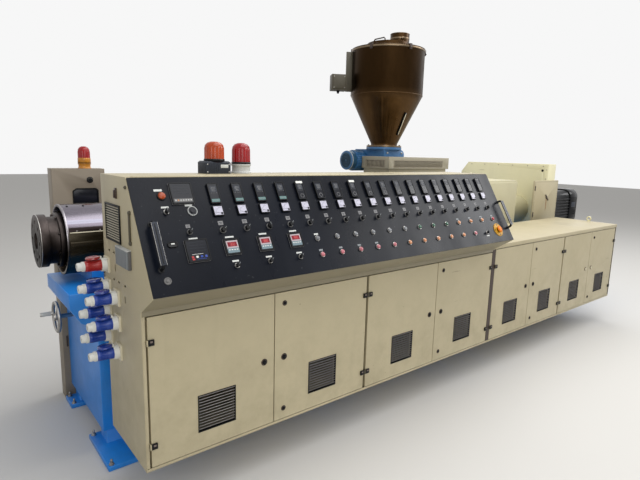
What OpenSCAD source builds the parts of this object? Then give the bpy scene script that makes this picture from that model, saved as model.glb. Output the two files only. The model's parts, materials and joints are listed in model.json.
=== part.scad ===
// Single-screw plastic extruder: barrel, hopper, gearbox and motor on a base
// frame, with a long row of control cabinets hung on the operator's side.
// X runs from the die end to the motor, Y away from the operator, Z up.
// The origin is at floor level, below the middle of the whole machine.

/* [Layout] */
// Height of the cabinets' underside above the floor
floor_gap = 250; // [200:10:300]
// Thickness of the cabinet sheet metal
sheet = 3; // [2:0.5:4]

/* [Control cabinet] */
// Width of the control cabinet with the operating panel
cab_a_w = 2503; // [2450:10:2510]
// Depth of the control cabinet
cab_a_depth = 463; // [440:1:475]
// Height of the upright front of the control cabinet
front_h = 700; // [690:5:720]
// How far the console's lower lip stands out over the doors
lip_out = 136; // [120:2:150]
// Height of the lip above the upright front
lip_rise = 86; // [80:2:100]
// Length of the operating panel up its slope
panel_len = 508; // [490:2:520]
// Slope of the operating panel from the horizontal
panel_tilt = 59.3; // [56:0.1:62]
// Width of the folded edge beside the operating panel
panel_margin = 15; // [10:1:20]
// Thickness of the operating panel
panel_t = 4; // [3:0.5:5]
// Running gap around the operating panel
panel_gap = 5; // [5:0.5:8]

/* [Drive cabinet] */
// Width of the drive cabinet on the motor side
cab_b_w = 2155; // [2050:5:2200]
// Depth of the drive cabinet
cab_b_depth = 600; // [560:5:610]
// Height of the drive cabinet with its lid
cab_b_h = 727; // [705:1:740]
// Height of the turned-down rim of the drive cabinet's lid
lid_rim = 30; // [24:1:32]

/* [Doors] */
// Depth of the folded door pan
door_t = 20; // [16:1:24]
// Height of the band below the doors
door_foot = 16; // [12:1:24]
// Height of the band above the control cabinet's doors
door_head = 26; // [22:1:34]
// Width of the frame stile at each end of a cabinet
stile_w = 14; // [12:1:20]
// Gap at a hinged door edge
hinge_gap = 9; // [9:0.5:12]
// Gap between two free door edges
free_gap = 5; // [5:0.5:8]
// Width of the vent in each door
vent_w = 182; // [150:2:200]
// Height of the vent in each door
vent_h = 170; // [150:2:180]
// Height of the vent's middle above the cabinet's underside
vent_z = 187; // [180:1:230]
// Number of louvre blades in a vent
vent_blades = 9; // [6:1:12]
// Radius of a door hinge pin
pin_r = 3.5; // [3:0.25:4]
// Side of the black hinge block on a door
hinge_block = 25; // [22:1:32]
// Height of the lower hinges above the cabinet's underside
hinge_low = 112; // [90:1:140]
// Height of the upper hinges above the cabinet's underside
hinge_high = 568; // [520:1:600]
// Radius of a door lock's knob
lock_r = 11; // [9:0.5:14]

/* [Instruments] */
// Number of heating and cooling zones on the panel
zones = 18; // [16:1:18]
// First zone's distance from the console's left end
zone_start = 355; // [355:1:360]
// Last zone's distance from the console's right end
zone_end = 159; // [155:1:170]
// Width of a zone's temperature controller
controller_w = 48; // [44:1:52]
// Height of a zone's temperature controller
controller_h = 96; // [90:1:100]
// Distance of the controllers' middle below the panel's top edge
controller_drop = 88; // [83:1:93]
// Side of an ammeter
ammeter_w = 48; // [44:1:52]
// Distance of the ammeters' middle below the panel's top edge
ammeter_drop = 170; // [168:1:174]
// Radius of a selector knob
knob_r = 15; // [12:0.5:18]
// Distance of the selector knobs below the panel's top edge
knob_drop = 258; // [253:1:268]
// Radius of a push button's ring
button_r = 14; // [11:0.5:15]
// Number of push buttons in the upper row
buttons = 13; // [11:1:13]
// First push button's distance from the console's left end
button_start = 837; // [830:1:845]
// Last push button's distance from the console's right end
button_end = 154; // [150:1:160]
// Distance of the upper button row up the slope
button_v_top = 166; // [160:1:172]
// Distance of the lower button row up the slope
button_v_low = 82; // [76:1:88]
// Side of a large square controller
big_unit = 96; // [90:1:98]
// Side of a speed display
display_unit = 72; // [66:1:76]
// Number of speed displays
displays = 3; // [1:1:3]
// First speed display's distance from the console's left end
display_start = 376; // [370:1:380]
// Distance between two speed displays
display_pitch = 166; // [160:1:168]
// Radius of the emergency stop's yellow disc
stop_disc_r = 45; // [40:1:48]
// Radius of the emergency stop's mushroom
stop_r = 22; // [18:1:26]
// Distance of the emergency stop from the console's right end
stop_end = 141; // [135:1:150]
// Length of a panel handle
handle_len = 190; // [170:2:200]
// Height of a panel handle above the panel
handle_h = 42; // [36:1:50]
// Radius of a panel handle's bar
handle_r = 7; // [6:0.5:9]

/* [Side fittings] */
// Width of the side louvre
louvre_w = 196; // [180:1:204]
// Height of the side louvre
louvre_h = 162; // [150:1:170]
// Length of the ribbed connector hood
hood_w = 150; // [130:2:170]
// Side of a power socket's square flange
socket_flange = 74; // [70:1:78]
// Radius of a power socket's collar
socket_r = 31; // [28:0.5:33]
// Radius of a plug's body
plug_r = 26; // [23:0.5:27]
// Radius of a plug's cable gland
gland_r = 19; // [16:0.5:20]

/* [Barrel] */
// Radius of the polished barrel cover
cover_r = 190; // [180:1:196]
// Length of the barrel cover
cover_len = 2240; // [2200:5:2245]
// Distance of the cover's end in front of the cabinet's side
cover_out = 72; // [60:1:80]
// Radius of the die flange's front disc
flange_r = 140; // [132:1:146]
// Radius of the bolt circle in the die flange
flange_pcd = 200; // [190:2:210]
// Radius of a bolt hole in the die flange
flange_hole_r = 10; // [8:0.5:11]
// Number of bolt holes in the die flange
flange_holes = 8; // [6:1:10]
// Radius of the melt channel
melt_r = 45; // [35:1:50]

/* [Hopper] */
// Distance of the hopper axis behind the barrel cover's end
hopper_offset = 235; // [225:1:260]
// Radius of the hopper's cylinder
hopper_r = 292; // [280:2:300]
// Radius of the hopper's outlet
outlet_r = 109; // [100:1:118]
// Height of the hopper from its outlet flange to its rim
hopper_h = 760; // [720:5:800]
// Height of the hopper's cylinder
hopper_cyl = 350; // [330:5:370]
// Wall of the hopper
hopper_wall = 4; // [3:0.5:5]
// Outer radius of the inlet stub on the hopper's lid
inlet_r = 76; // [60:1:80]

/* [Feeder] */
// Length of the feeder housing
feeder_len = 756; // [730:1:780]
// Width of the feeder housing
feeder_w = 306; // [290:1:312]
// Height of the feeder housing above the gearbox cover
feeder_h = 200; // [180:2:220]
// Distance of the feeder housing's near end from the hopper axis
feeder_near = 177; // [165:1:190]
// Distance of the feeder housing's front face from the barrel axis
feeder_front = 234; // [228:1:240]
// Length of the gear unit under the hopper
gear_unit_len = 240; // [230:2:260]
// Width of the gear unit
gear_unit_w = 340; // [320:2:350]
// Height of the gear unit
gear_unit_h = 57; // [50:1:70]
// Radius of the feeder motor
feeder_motor_r = 76; // [70:1:80]
// Length of the feeder motor
feeder_motor_len = 300; // [280:2:320]

/* [Base frame] */
// Width of the base frame
frame_w = 696; // [680:4:710]
// Length of the base frame
frame_len = 5550; // [5500:10:5640]
// Height of the base frame's top above the floor
frame_top = 760; // [740:5:775]
// Height of the base frame's underside above the floor
frame_low = 100; // [80:5:120]
// Clear distance between the drive cabinet and the base frame
frame_gap = 86; // [70:2:100]
// Height of the barrel axis above the base frame
barrel_rise = 332; // [320:2:350]
// Clear height between the pedestal and the barrel cover
pedestal_gap = 35; // [25:1:45]

/* [Drive] */
// Length of the feed section between barrel cover and gearbox
feed_len = 582; // [550:2:600]
// Length of the gearbox cover
gearbox_len = 1233; // [1200:1:1260]
// Width of the gearbox cover
gearbox_w = 668; // [640:2:690]
// Height of the gearbox cover above the base frame
gearbox_h = 615; // [600:5:630]
// Distance between the gearbox cover and the belt guard
drive_gap = 609; // [590:1:640]
// Width of the belt guard
guard_w = 1087; // [1060:1:1100]
// Height of the belt guard above the base frame
guard_h = 775; // [750:5:800]
// Thickness of the belt guard
guard_t = 160; // [140:2:180]
// Depth of the terminal box in front of the belt guard
terminal_d = 20; // [16:1:30]
// Width of the terminal box
terminal_w = 501; // [480:1:515]
// Height of the terminal box
terminal_h = 425; // [400:1:440]
// Width and height of the main motor's square frame
motor_w = 430; // [410:2:450]
// Length of the main motor
motor_len = 915; // [880:5:950]
// Height of the motor axis above the base frame
motor_rise = 263; // [250:1:275]

/* [Rear cabinet] */
// Width of the cabinet behind the barrel
rear_w = 298; // [280:1:310]
// Height of the cabinet behind the barrel
rear_h = 1457; // [1420:1:1480]
// Depth of the cabinet behind the barrel
rear_depth = 110; // [90:5:150]

/* [Hidden] */

$fn = 48;
// Narrow gap left where two separate pieces seat on each other
seat = 0.3;
// How far a cut reaches past the faces that it opens
past = 1;

// Cabinet heights and profile
front_top = floor_gap + front_h;
lip_z = front_top + lip_rise;
roof_y = -lip_out + panel_len * cos(panel_tilt);
roof_z = lip_z + panel_len * sin(panel_tilt);
cab_b_x = cab_a_w;
cab_b_end = cab_b_x + cab_b_w;
cab_b_top = floor_gap + cab_b_h;

// Doors
door_z = floor_gap + door_foot;
door_a_h = front_h - door_foot - door_head;
door_b_h = cab_b_h - door_foot - lid_rim - free_gap;
back_gap = 2 * hinge_gap;
door_a_w = (cab_a_w - 2 * (stile_w + hinge_gap) - 2 * free_gap - back_gap) / 4;
door_b_w = (cab_b_w - 2 * (stile_w + hinge_gap) - 2 * free_gap - back_gap) / 4;
door_a_top = front_top - door_head + free_gap;
post_w = 40;
post_d = 30;
post_y = door_t + 2;
pin_y = -6;
pin_clear = 0.5;
hinge_block_t = 8;
lock_inset = 55;
lock_out = 8;

// Panel
panel_in = sheet + panel_margin + panel_gap;
panel_edge = 2;
lid_top = seat + panel_t;
hinge_rod_r = 4;
zone_pitch = (cab_a_w - zone_start - zone_end) / (zones - 1);
button_pitch = (cab_a_w - button_start - button_end) / (buttons - 1);
handle_v = 92;
handle_in = 18;
left_handle = [55, 108];
stop_v = 85;
end_knob_in = 277;

// Left end of the panel, as [distance from the end, distance below the panel's top edge]
recorders = [[211, 82], [218, 338]];
left_knobs = [[129, 161], [206, 255]];
left_lamp = [125, 90];
left_latch = [123, 302];
dial = [240, 163];
// Distances of the speed displays and of their knobs up the slope
display_v = 170;
display_knob_v = 86;

// Base frame and barrel
frame_x = 10;
frame_end = frame_x + frame_len;
frame_y = cab_b_depth + frame_gap;
frame_back = frame_y + frame_w;
axis_y = frame_y + frame_w / 2;
axis_z = frame_top + barrel_rise;
pedestal_top = axis_z - cover_r - pedestal_gap;
pedestal_len = 150;
saddle_h = 190;
foot_plate = 25;
cover_x = -cover_out;
cover_end = cover_x + cover_len;
mouth = 110;
cover_t = 12;
flange_out = 111;
flange_x = cover_x - flange_out;
melt_len = 140;

// Hopper and feeder
hopper_x = cover_end + hopper_offset;
gearbox_top = frame_top + gearbox_h;
feeder_top = gearbox_top + feeder_h;
neck_z = feeder_top + gear_unit_h + 18;
hopper_top = neck_z + hopper_h;
rim_out = 3;

// Drive
gearbox_x = cover_end + feed_len;
gearbox_end = gearbox_x + gearbox_len;
guard_x = gearbox_end + drive_gap;
guard_y = cab_b_depth + 105;
terminal_y = guard_y - terminal_d;
guard_top = frame_top + guard_h;
motor_x = guard_x + guard_t;
motor_end = motor_x + motor_len;
motor_z = frame_top + motor_rise;

// Beacons and the rear cabinet
beacon_x = [528, 681];
beacon_y = 400;
rear_x = -25;
rear_beacon_x = rear_x + 197;
rear_beacon_y = frame_back + rear_depth / 2;

// Handwheel
wheel_x = -112;
wheel_r = 80;
wheel_shaft_r = 12;
wheel_z = pedestal_top - saddle_h - wheel_shaft_r - 2;

// Whole machine, for the origin at the middle of its box
x_left = flange_x;
x_right = max(motor_end, frame_end);
y_front = min(
    -lip_out + panel_edge * cos(panel_tilt) - lid_top * sin(panel_tilt),
    -lip_out + (handle_v - handle_r) * cos(panel_tilt) - (lid_top + handle_h) * sin(panel_tilt)
);
y_back = guard_y + guard_w;

module placed() {
    translate([-(x_left + x_right) / 2, -(y_front + y_back) / 2, 0]) children();
}

module slab(x0, x1, y0, y1, z0, z1) {
    translate([x0, y0, z0]) cube([x1 - x0, y1 - y0, z1 - z0]);
}

// A cylinder along X that starts at x
module rod_x(x, y, z, r, len) {
    translate([x, y, z]) rotate([0, 90, 0]) cylinder(r = r, h = len);
}

// A cylinder that stands out of the face at y, towards the operator
module rod_front(x, y, z, r, len) {
    translate([x, y, z]) rotate([90, 0, 0]) cylinder(r = r, h = len);
}

// A plate in the Y-Z plane, drawn as [y, z] points, that starts at x
module profile_x(x, len, points) {
    translate([x, 0, 0]) rotate([90, 0, 90]) linear_extrude(height = len) polygon(points);
}

// A plate in the X-Z plane, drawn as [x, z] shapes, that starts at y
module profile_y(y, len) {
    translate([0, y, 0]) rotate([90, 0, 0]) mirror([0, 0, 1]) linear_extrude(height = len) children();
}

// The panel's plane: x along the console, y up the slope, z out of the panel
module on_panel(u, v) {
    translate([0, -lip_out, lip_z]) rotate([panel_tilt, 0, 0]) translate([u, v, 0]) children();
}

// Distance of a cabinet's k-th door from the cabinet's left side
function door_offset(k, w) =
    stile_w + hinge_gap + k * w + floor((k + 1) / 2) * free_gap + (k > 1 ? back_gap : 0);

function door_w(i) = i <= 4 ? door_a_w : door_b_w;
function door_h(i) = i <= 4 ? door_a_h : door_b_h;
function door_x(i) = i <= 4 ? door_offset(i - 1, door_a_w) : cab_b_x + door_offset(i - 5, door_b_w);
// Odd doors hang on their left edge, even ones on their right edge
function is_left(i) = i % 2 == 1;
function pin_x(i) = is_left(i) ? door_x(i) - hinge_gap / 2 : door_x(i) + door_w(i) + hinge_gap / 2;

// A lock: a flat rosette with its knob or key barrel
module lock(x, z, r) {
    translate([x, 0, z]) rotate([90, 0, 0]) {
        cylinder(r = lock_r + 3, h = 2);
        cylinder(r = r, h = lock_out);
    }
}

// One folded door pan with its louvred vent, hinge blocks and locks
module door(i) {
    w = door_w(i);
    h = door_h(i);
    vent_x = (w - vent_w) / 2;
    vent_low = vent_z - vent_h / 2 - door_foot;
    vent_d = 14;
    blade_step = vent_h / vent_blades;
    blade = [
        [2, 1], [4, 1], [vent_d, blade_step - sheet], [vent_d, blade_step - 1], [vent_d - 2, blade_step - 1]
    ];
    lock_x = is_left(i) ? w - lock_inset : lock_inset;
    pin_side = hinge_gap / 2 - pin_r - pin_clear;
    block_x = is_left(i) ? -pin_side : w - hinge_block + pin_side;
    translate([door_x(i), 0, door_z]) {
        color("wheat") difference() {
            cube([w, door_t, h]);
            translate([sheet, sheet, sheet]) cube([w - 2 * sheet, door_t, h - 2 * sheet]);
            translate([vent_x, -past, vent_low]) cube([vent_w, door_t, vent_h]);
        }
        color("dimgray") {
            translate([vent_x - sheet, sheet / 2, vent_low - sheet]) difference() {
                cube([vent_w + 2 * sheet, vent_d, vent_h + 2 * sheet]);
                translate([sheet, -past, sheet]) cube([vent_w, vent_d + 2 * past, vent_h]);
            }
            for (k = [0 : vent_blades - 1])
                profile_x(vent_x - 1, vent_w + 2, [for (q = blade) [q[0], q[1] + vent_low + k * blade_step]]);
            for (z = [hinge_low, hinge_high])
                translate([block_x, -hinge_block_t, z - door_foot - hinge_block / 2])
                    cube([hinge_block, hinge_block_t, hinge_block]);
            lock(lock_x, h / 2, lock_r);
            if (!is_left(i)) for (z = [lock_inset, h - lock_inset]) lock(lock_x, z, lock_r * 0.7);
        }
    }
}

module door_1() { door(1); }
module door_2() { door(2); }
module door_3() { door(3); }
module door_4() { door(4); }
module door_5() { door(5); }
module door_6() { door(6); }
module door_7() { door(7); }
module door_8() { door(8); }

// A side wall of the console; the fold under the panel's end starts at fold_x
module console_side(x, fold_x) {
    fold_in = 12;
    profile_x(x, sheet, [
        [0, floor_gap], [0, front_top], [-lip_out, lip_z], [roof_y, roof_z],
        [cab_a_depth, roof_z], [cab_a_depth, floor_gap]
    ]);
    on_panel(fold_x, fold_in) translate([0, 0, -sheet - 0.5])
        cube([panel_margin + 1, panel_len - 2 * fold_in, sheet]);
}

// Slots and cable holes in the left side, as [y, distance below the roof, width, height]
side_cuts = [
    [387, 336, 26, 9], [320, 336, 26, 9], [331, 459, 26, 9], [266, 458, 26, 9], [182, 457, 26, 9],
    [306, 403, 14, 30], [190, 519, 14, 30]
];

module cabinet_left_side() {
    color("wheat") difference() {
        console_side(0, sheet - 1);
        for (c = side_cuts)
            slab(-past, sheet + past, c[0] - c[2] / 2, c[0] + c[2] / 2,
                roof_z - c[1] - c[3] / 2, roof_z - c[1] + c[3] / 2);
    }
}

module cabinet_right_side() {
    color("wheat") console_side(cab_a_w - sheet, cab_a_w - sheet - panel_margin);
}

module drive_cabinet_sides() {
    color("wheat") for (x = [cab_b_x, cab_b_end - sheet])
        slab(x, x + sheet, 0, cab_b_depth, floor_gap, cab_b_top - sheet);
}

// A floor tray with a folded front band below the doors
module floor_tray(x0, x1, depth) {
    slab(x0, x1, 0, depth, floor_gap, floor_gap + sheet);
    slab(x0, x1, 0, sheet, floor_gap, door_z - sheet);
}

module cabinet_floors() {
    color("wheat") {
        floor_tray(sheet, cab_a_w - sheet, cab_a_depth - sheet);
        floor_tray(cab_b_x + sheet, cab_b_end - sheet, cab_b_depth - sheet);
    }
}

module cabinet_backs() {
    color("wheat") {
        slab(sheet, cab_a_w - sheet, cab_a_depth - sheet, cab_a_depth, floor_gap, roof_z - sheet);
        slab(cab_b_x + sheet, cab_b_end - sheet, cab_b_depth - sheet, cab_b_depth,
            floor_gap, cab_b_top - sheet);
    }
}

// The roof carries the long hinge rod of the operating panel along its front edge
module console_roof() {
    fold_y = roof_y + 2 * hinge_rod_r;
    fold_h = 25;
    color("wheat") {
        slab(sheet, cab_a_w - sheet, fold_y, cab_a_depth, roof_z - sheet, roof_z);
        slab(sheet, cab_a_w - sheet, fold_y, fold_y + sheet, roof_z - fold_h, roof_z);
        slab(panel_in, cab_a_w - panel_in, roof_y, fold_y, roof_z - sheet, roof_z);
    }
    color("dimgray") rod_x(panel_in, roof_y, roof_z, hinge_rod_r, cab_a_w - 2 * panel_in);
}

// Band over the doors, sloping underside and lower lip of the console, in one folded sheet
module console_sill() {
    run = sqrt(lip_out * lip_out + lip_rise * lip_rise);
    under = [lip_out / run, -lip_rise / run];
    up = [cos(panel_tilt), sin(panel_tilt)];
    inward = [lip_rise / run, lip_out / run];
    lip = [-lip_out, lip_z];
    fold = 10;
    color("wheat") profile_x(sheet, cab_a_w - 2 * sheet, [
        [0, door_a_top], [0, front_top], lip, lip + fold * up,
        lip + fold * up + sheet * under, lip + sheet * (under + up),
        [sheet, front_top + sheet * inward[1] - (sheet - sheet * inward[0]) * lip_rise / lip_out],
        [sheet, door_a_top]
    ]);
}

module drive_cabinet_lid() {
    color("wheat") difference() {
        slab(cab_b_x, cab_b_end, -sheet, cab_b_depth, cab_b_top - lid_rim, cab_b_top);
        slab(cab_b_x - past, cab_b_end + past, 0, cab_b_depth + past,
            cab_b_top - lid_rim - past, cab_b_top - sheet);
    }
}

// Ring bolt on the drive cabinet's far corner
module lifting_eye() {
    foot_h = 8;
    bar_r = 6;
    ring_r = 18;
    color("gainsboro") translate([cab_b_end - 22, 256, cab_b_top]) {
        cylinder(r = 13, h = foot_h);
        translate([0, 0, foot_h + ring_r + 1]) rotate([0, 90, 0])
            rotate_extrude() translate([ring_r, 0]) circle(r = bar_r);
    }
}

// An upright of the door frame behind the doors
module post(x, top) {
    slab(x, x + post_w, post_y, post_y + post_d, floor_gap + sheet, top);
}

// A stile beside the doors at a cabinet's end
module stile(x, top) {
    slab(x, x + stile_w - sheet, 0, post_y + 1, door_z, top);
}

// The pins that one door hangs on, each on a tongue through the gap beside the door
module hinge_pins(i) {
    for (z = [hinge_low, hinge_high]) {
        low = floor_gap + z - hinge_block / 2;
        slab(pin_x(i) - sheet / 2, pin_x(i) + sheet / 2, pin_y, post_y + 1, low, low + hinge_block);
        translate([pin_x(i), pin_y, low]) cylinder(r = pin_r, h = hinge_block);
    }
}

// Door frame of the cabinet whose first door is given
module cabinet_posts(first, x0, x1, post_top, stile_top) {
    post(x0 + sheet, post_top);
    stile(x0 + sheet, stile_top);
    post(door_x(first) + door_w(first) + (free_gap - post_w) / 2, post_top);
    post(door_x(first + 1) + door_w(first + 1) + (back_gap - post_w) / 2, post_top);
    post(door_x(first + 2) + door_w(first + 2) + (free_gap - post_w) / 2, post_top);
    post(x1 - sheet - post_w, post_top);
    stile(x1 - stile_w, stile_top);
    for (i = [first : first + 3]) hinge_pins(i);
}

module door_posts() {
    color("tan") {
        cabinet_posts(1, 0, cab_a_w, front_top - 8, door_a_top - seat);
        cabinet_posts(5, cab_b_x, cab_b_end, cab_b_top - sheet - seat, cab_b_top - lid_rim - seat);
    }
}

// The black operating panel lifts about its upper edge
module console_panel() {
    color("midnightblue") on_panel(panel_edge, panel_edge) translate([0, 0, seat])
        cube([cab_a_w - 2 * panel_edge, panel_len - panel_edge - hinge_rod_r - 0.5, panel_t]);
}

// A place on the panel's surface, given from its left end and its top edge
module below_edge(u, drop) {
    on_panel(u, panel_len - drop) translate([0, 0, lid_top]) children();
}

// A place on the panel's surface, given from its left end and its lower edge
module above_edge(u, v) {
    on_panel(u, v) translate([0, 0, lid_top]) children();
}

// A bow handle that stands on the panel
module bow_handle(u, v) {
    above_edge(u, v) {
        for (end = [0, handle_len]) translate([0, end, 0]) cylinder(r = handle_r, h = handle_h);
        translate([0, -handle_r, handle_h - handle_r]) rotate([-90, 0, 0])
            cylinder(r = handle_r, h = handle_len + 2 * handle_r);
    }
}

module panel_handles() {
    color("black") {
        bow_handle(left_handle[0], left_handle[1]);
        bow_handle(cab_a_w - handle_in, handle_v);
    }
}

// A framed instrument with its face set back inside the frame
module bezel(w, h, depth) {
    rim = 4;
    recess = 2;
    translate([-w / 2, -h / 2, 0]) difference() {
        cube([w, h, depth]);
        translate([rim, rim, depth - recess]) cube([w - 2 * rim, h - 2 * rim, recess + past]);
    }
}

module temperature_controllers() {
    color("dimgray") for (i = [0 : zones - 1])
        below_edge(zone_start + i * zone_pitch, controller_drop) bezel(controller_w, controller_h, 12);
}

module ammeters() {
    color("gainsboro") for (i = [0 : zones - 1])
        below_edge(zone_start + i * zone_pitch, ammeter_drop) bezel(ammeter_w, ammeter_w, 10);
}

// A rotary knob: a collar, a waist and a flat grip across the top
module knob(r) {
    collar_h = 5;
    grip_h = 17;
    cylinder(r = r, h = collar_h);
    cylinder(r = r * 0.72, h = collar_h + grip_h - 4);
    translate([-r * 0.25, -r, collar_h]) cube([r * 0.5, 2 * r, grip_h]);
}

module selector_knobs() {
    small_r = knob_r * 0.8;
    color("black") {
        for (i = [0 : zones - 1]) below_edge(zone_start + i * zone_pitch, knob_drop) knob(knob_r);
        for (p = left_knobs) below_edge(p[0], p[1]) knob(small_r);
        for (k = [0 : displays - 1])
            above_edge(display_start + k * display_pitch, display_knob_v) knob(small_r);
        above_edge(cab_a_w - end_knob_in, stop_v - 9) knob(small_r);
    }
}

// A lit push button or lamp in its ring
module button(r) {
    cylinder(r = r, h = 5);
    cylinder(r = r * 0.8, h = 12);
}

module push_buttons() {
    color("lightgray") {
        for (k = [0 : buttons - 1])
            above_edge(button_start + k * button_pitch, button_v_top) button(button_r);
        for (k = [0 : buttons - 3])
            above_edge(button_start + k * button_pitch, button_v_low) button(button_r);
        below_edge(left_lamp[0], left_lamp[1]) button(button_r + 5);
    }
}

// The two square recorders, the speed displays, the dial between the recorders and the
// oval latch beside the lower recorder
module display_units() {
    latch_w = 26;
    latch_len = 44;
    latch_t = 6;
    color("dimgray") {
        for (p = recorders) below_edge(p[0], p[1]) bezel(big_unit, big_unit, 10);
        for (k = [0 : displays - 1])
            above_edge(display_start + k * display_pitch, display_v) bezel(display_unit, display_unit, 9);
    }
    color("lightgray") below_edge(dial[0], dial[1]) cylinder(r = 21, h = 8);
    color("black") below_edge(left_latch[0], left_latch[1]) {
        for (end = [-1, 1])
            translate([0, end * (latch_len - latch_w) / 2, 0]) cylinder(r = latch_w / 2, h = latch_t);
        translate([-latch_w / 2, (latch_w - latch_len) / 2, 0])
            cube([latch_w, latch_len - latch_w, latch_t]);
    }
}

module emergency_stop() {
    stem_h = 11;
    cap_h = 10;
    above_edge(cab_a_w - stop_end, stop_v) {
        color("gold") cylinder(r = stop_disc_r, h = 4);
        color("gray") cylinder(r = stop_r * 0.7, h = stem_h);
        color("orangered") translate([0, 0, stem_h]) cylinder(r1 = stop_r, r2 = stop_r * 0.85, h = cap_h);
    }
}

// Louvre, hasp, lid stay and ribbed connector hood on the control cabinet's left side
module side_fittings() {
    louvre_y = 204;
    louvre_z = roof_z - 121 - louvre_h;
    louvre_t = 6;
    louvre_rim = 12;
    slots = 12;
    slot_pitch = (louvre_h - louvre_rim) / slots;
    hood_y = 86;
    hood_h = 82;
    hood_z = roof_z - 288 - hood_h;
    hood_out = 18;
    ribs = 8;
    rib_pitch = (hood_w - 14) / ribs;
    color("dimgray") {
        difference() {
            slab(-louvre_t, 0, louvre_y, louvre_y + louvre_w, louvre_z, louvre_z + louvre_h);
            for (k = [0 : slots - 1])
                translate([0, 0, louvre_z + louvre_rim + k * slot_pitch])
                    slab(-louvre_t - past, 2 - louvre_t / 2, louvre_y + louvre_rim,
                        louvre_y + louvre_w - louvre_rim, 0, slot_pitch * 0.45);
        }
        slab(-12, 0, 236, 254, roof_z - 94, roof_z - 50);
        slab(-10, 0, 74, 88, roof_z - 268, roof_z - 128);
        rod_x(-10, 120, roof_z - 40, 7, 10);
    }
    color("gray") difference() {
        slab(-hood_out, 0, hood_y, hood_y + hood_w, hood_z, hood_z + hood_h);
        for (k = [0 : ribs - 1])
            translate([0, hood_y + 10 + k * rib_pitch, 0])
                slab(-hood_out - past, 5 - hood_out, 0, rib_pitch / 2, hood_z + 6, hood_z + hood_h + past);
    }
}

// Places of the sockets on the side wall, as [y, height above the underside]
back_column = [[418, 816], [418, 715], [418, 600], [418, 484]];
front_column = [[296, 690], [296, 575], [296, 440]];
sockets = concat(back_column, front_column);
socket_base = 8;
socket_depth = 30;
plug_end = 100;
plug_len = 130;

// A socket: square flange, round collar and its round lid laid open on top of the plug
module socket(y, z) {
    half = socket_flange / 2;
    lid_droop = 4;
    lid_low = 2.5;
    lug = 16;
    slab(-socket_base, 0, y - half, y + half, z - half, z + half);
    difference() {
        rod_x(-socket_depth, y, z, socket_r, socket_depth - socket_base + 1);
        rod_x(-socket_depth - past, y, z, plug_r + seat, socket_depth - socket_base + past);
    }
    translate([-socket_depth, y, z + socket_r + lid_low]) rotate([0, -lid_droop, 0]) {
        translate([-socket_r - 1, 0, 0]) {
            cylinder(r = socket_r, h = 7);
            translate([0, 0, 6.5]) cylinder(r1 = socket_r - 1, r2 = socket_r * 0.72, h = 5);
        }
        translate([-4, -lug / 2, -lid_low - 2]) cube([12, lug, lid_low + 9]);
    }
}

module power_sockets() {
    color("white") for (s = sockets) socket(s[0], floor_gap + s[1]);
}

// A plug: coloured body, white gland nut and cable outlet
module plug(y, z, body_color) {
    color(body_color) {
        rod_x(8 - plug_end, y, z, plug_r, plug_end - 8 - socket_base);
        rod_x(-plug_end, y, z, plug_r * 0.85, 9);
    }
    color("white") {
        rod_x(-plug_len, y, z, gland_r, plug_len - plug_end + 1);
        rod_x(-plug_end - 12, y, z, gland_r + 3, 12);
    }
}

module plugs() {
    for (k = [0 : len(sockets) - 1])
        plug(sockets[k][0], floor_gap + sockets[k][1], k == 0 ? "red" : "navy");
}

// Bases of the two console beacons and of the rear cabinet's beacon
box_base_h = 62;
round_base_h = 48;
rear_base_h = 30;
module beacon_bases() {
    color("dimgray") {
        slab(beacon_x[0] - 70, beacon_x[0] + 70, beacon_y - 45, beacon_y + 45, roof_z, roof_z + box_base_h);
        translate([rear_beacon_x, rear_beacon_y, rear_h]) cylinder(r = 38, h = rear_base_h);
    }
    color("tan") translate([beacon_x[1], beacon_y, roof_z]) cylinder(r = 52, h = round_base_h);
}

// A beacon's lens: a straight glass with a domed top
module lens(x, y, z, r, h) {
    straight = h - r * 0.5;
    translate([x, y, z]) rotate_extrude() union() {
        square([r, straight]);
        intersection() {
            translate([0, straight]) scale([1, 0.5]) circle(r = r);
            square([r, h]);
        }
    }
}

module beacon_domes() {
    color("orange") lens(beacon_x[0], beacon_y, roof_z + box_base_h, 52, 96);
    color("red") {
        lens(beacon_x[1], beacon_y, roof_z + round_base_h, 50, 108);
        lens(rear_beacon_x, rear_beacon_y, rear_h + rear_base_h, 37, 105);
    }
}

// The long fabricated base with recessed panels on its sides and the saddle at the die end
module base_frame() {
    bays = 6;
    rib = 100;
    end_rib = 230;
    edge = 90;
    recess = 14;
    bay = (frame_len - 2 * end_rib + rib) / bays;
    saddle_out = 120;
    saddle_inset = 20;
    saddle_low = pedestal_top - saddle_h;
    color("dodgerblue") {
        difference() {
            slab(frame_x, frame_end, frame_y, frame_back, frame_low, frame_top);
            for (k = [0 : bays - 1], y = [frame_y - past, frame_back - recess])
                slab(frame_x + end_rib + k * bay, frame_x + end_rib - rib + (k + 1) * bay,
                    y, y + recess + past, frame_low + edge, frame_top - edge);
        }
        slab(frame_x, frame_x + pedestal_len, frame_y, frame_back, frame_top - 1, pedestal_top);
        profile_y(frame_y + saddle_inset, frame_w - 170) polygon([
            [frame_x + 1, pedestal_top], [frame_x - saddle_out, pedestal_top],
            [frame_x - saddle_out, pedestal_top - 75], [frame_x - 70, saddle_low + 30],
            [frame_x + 1, saddle_low]
        ]);
    }
}

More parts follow.
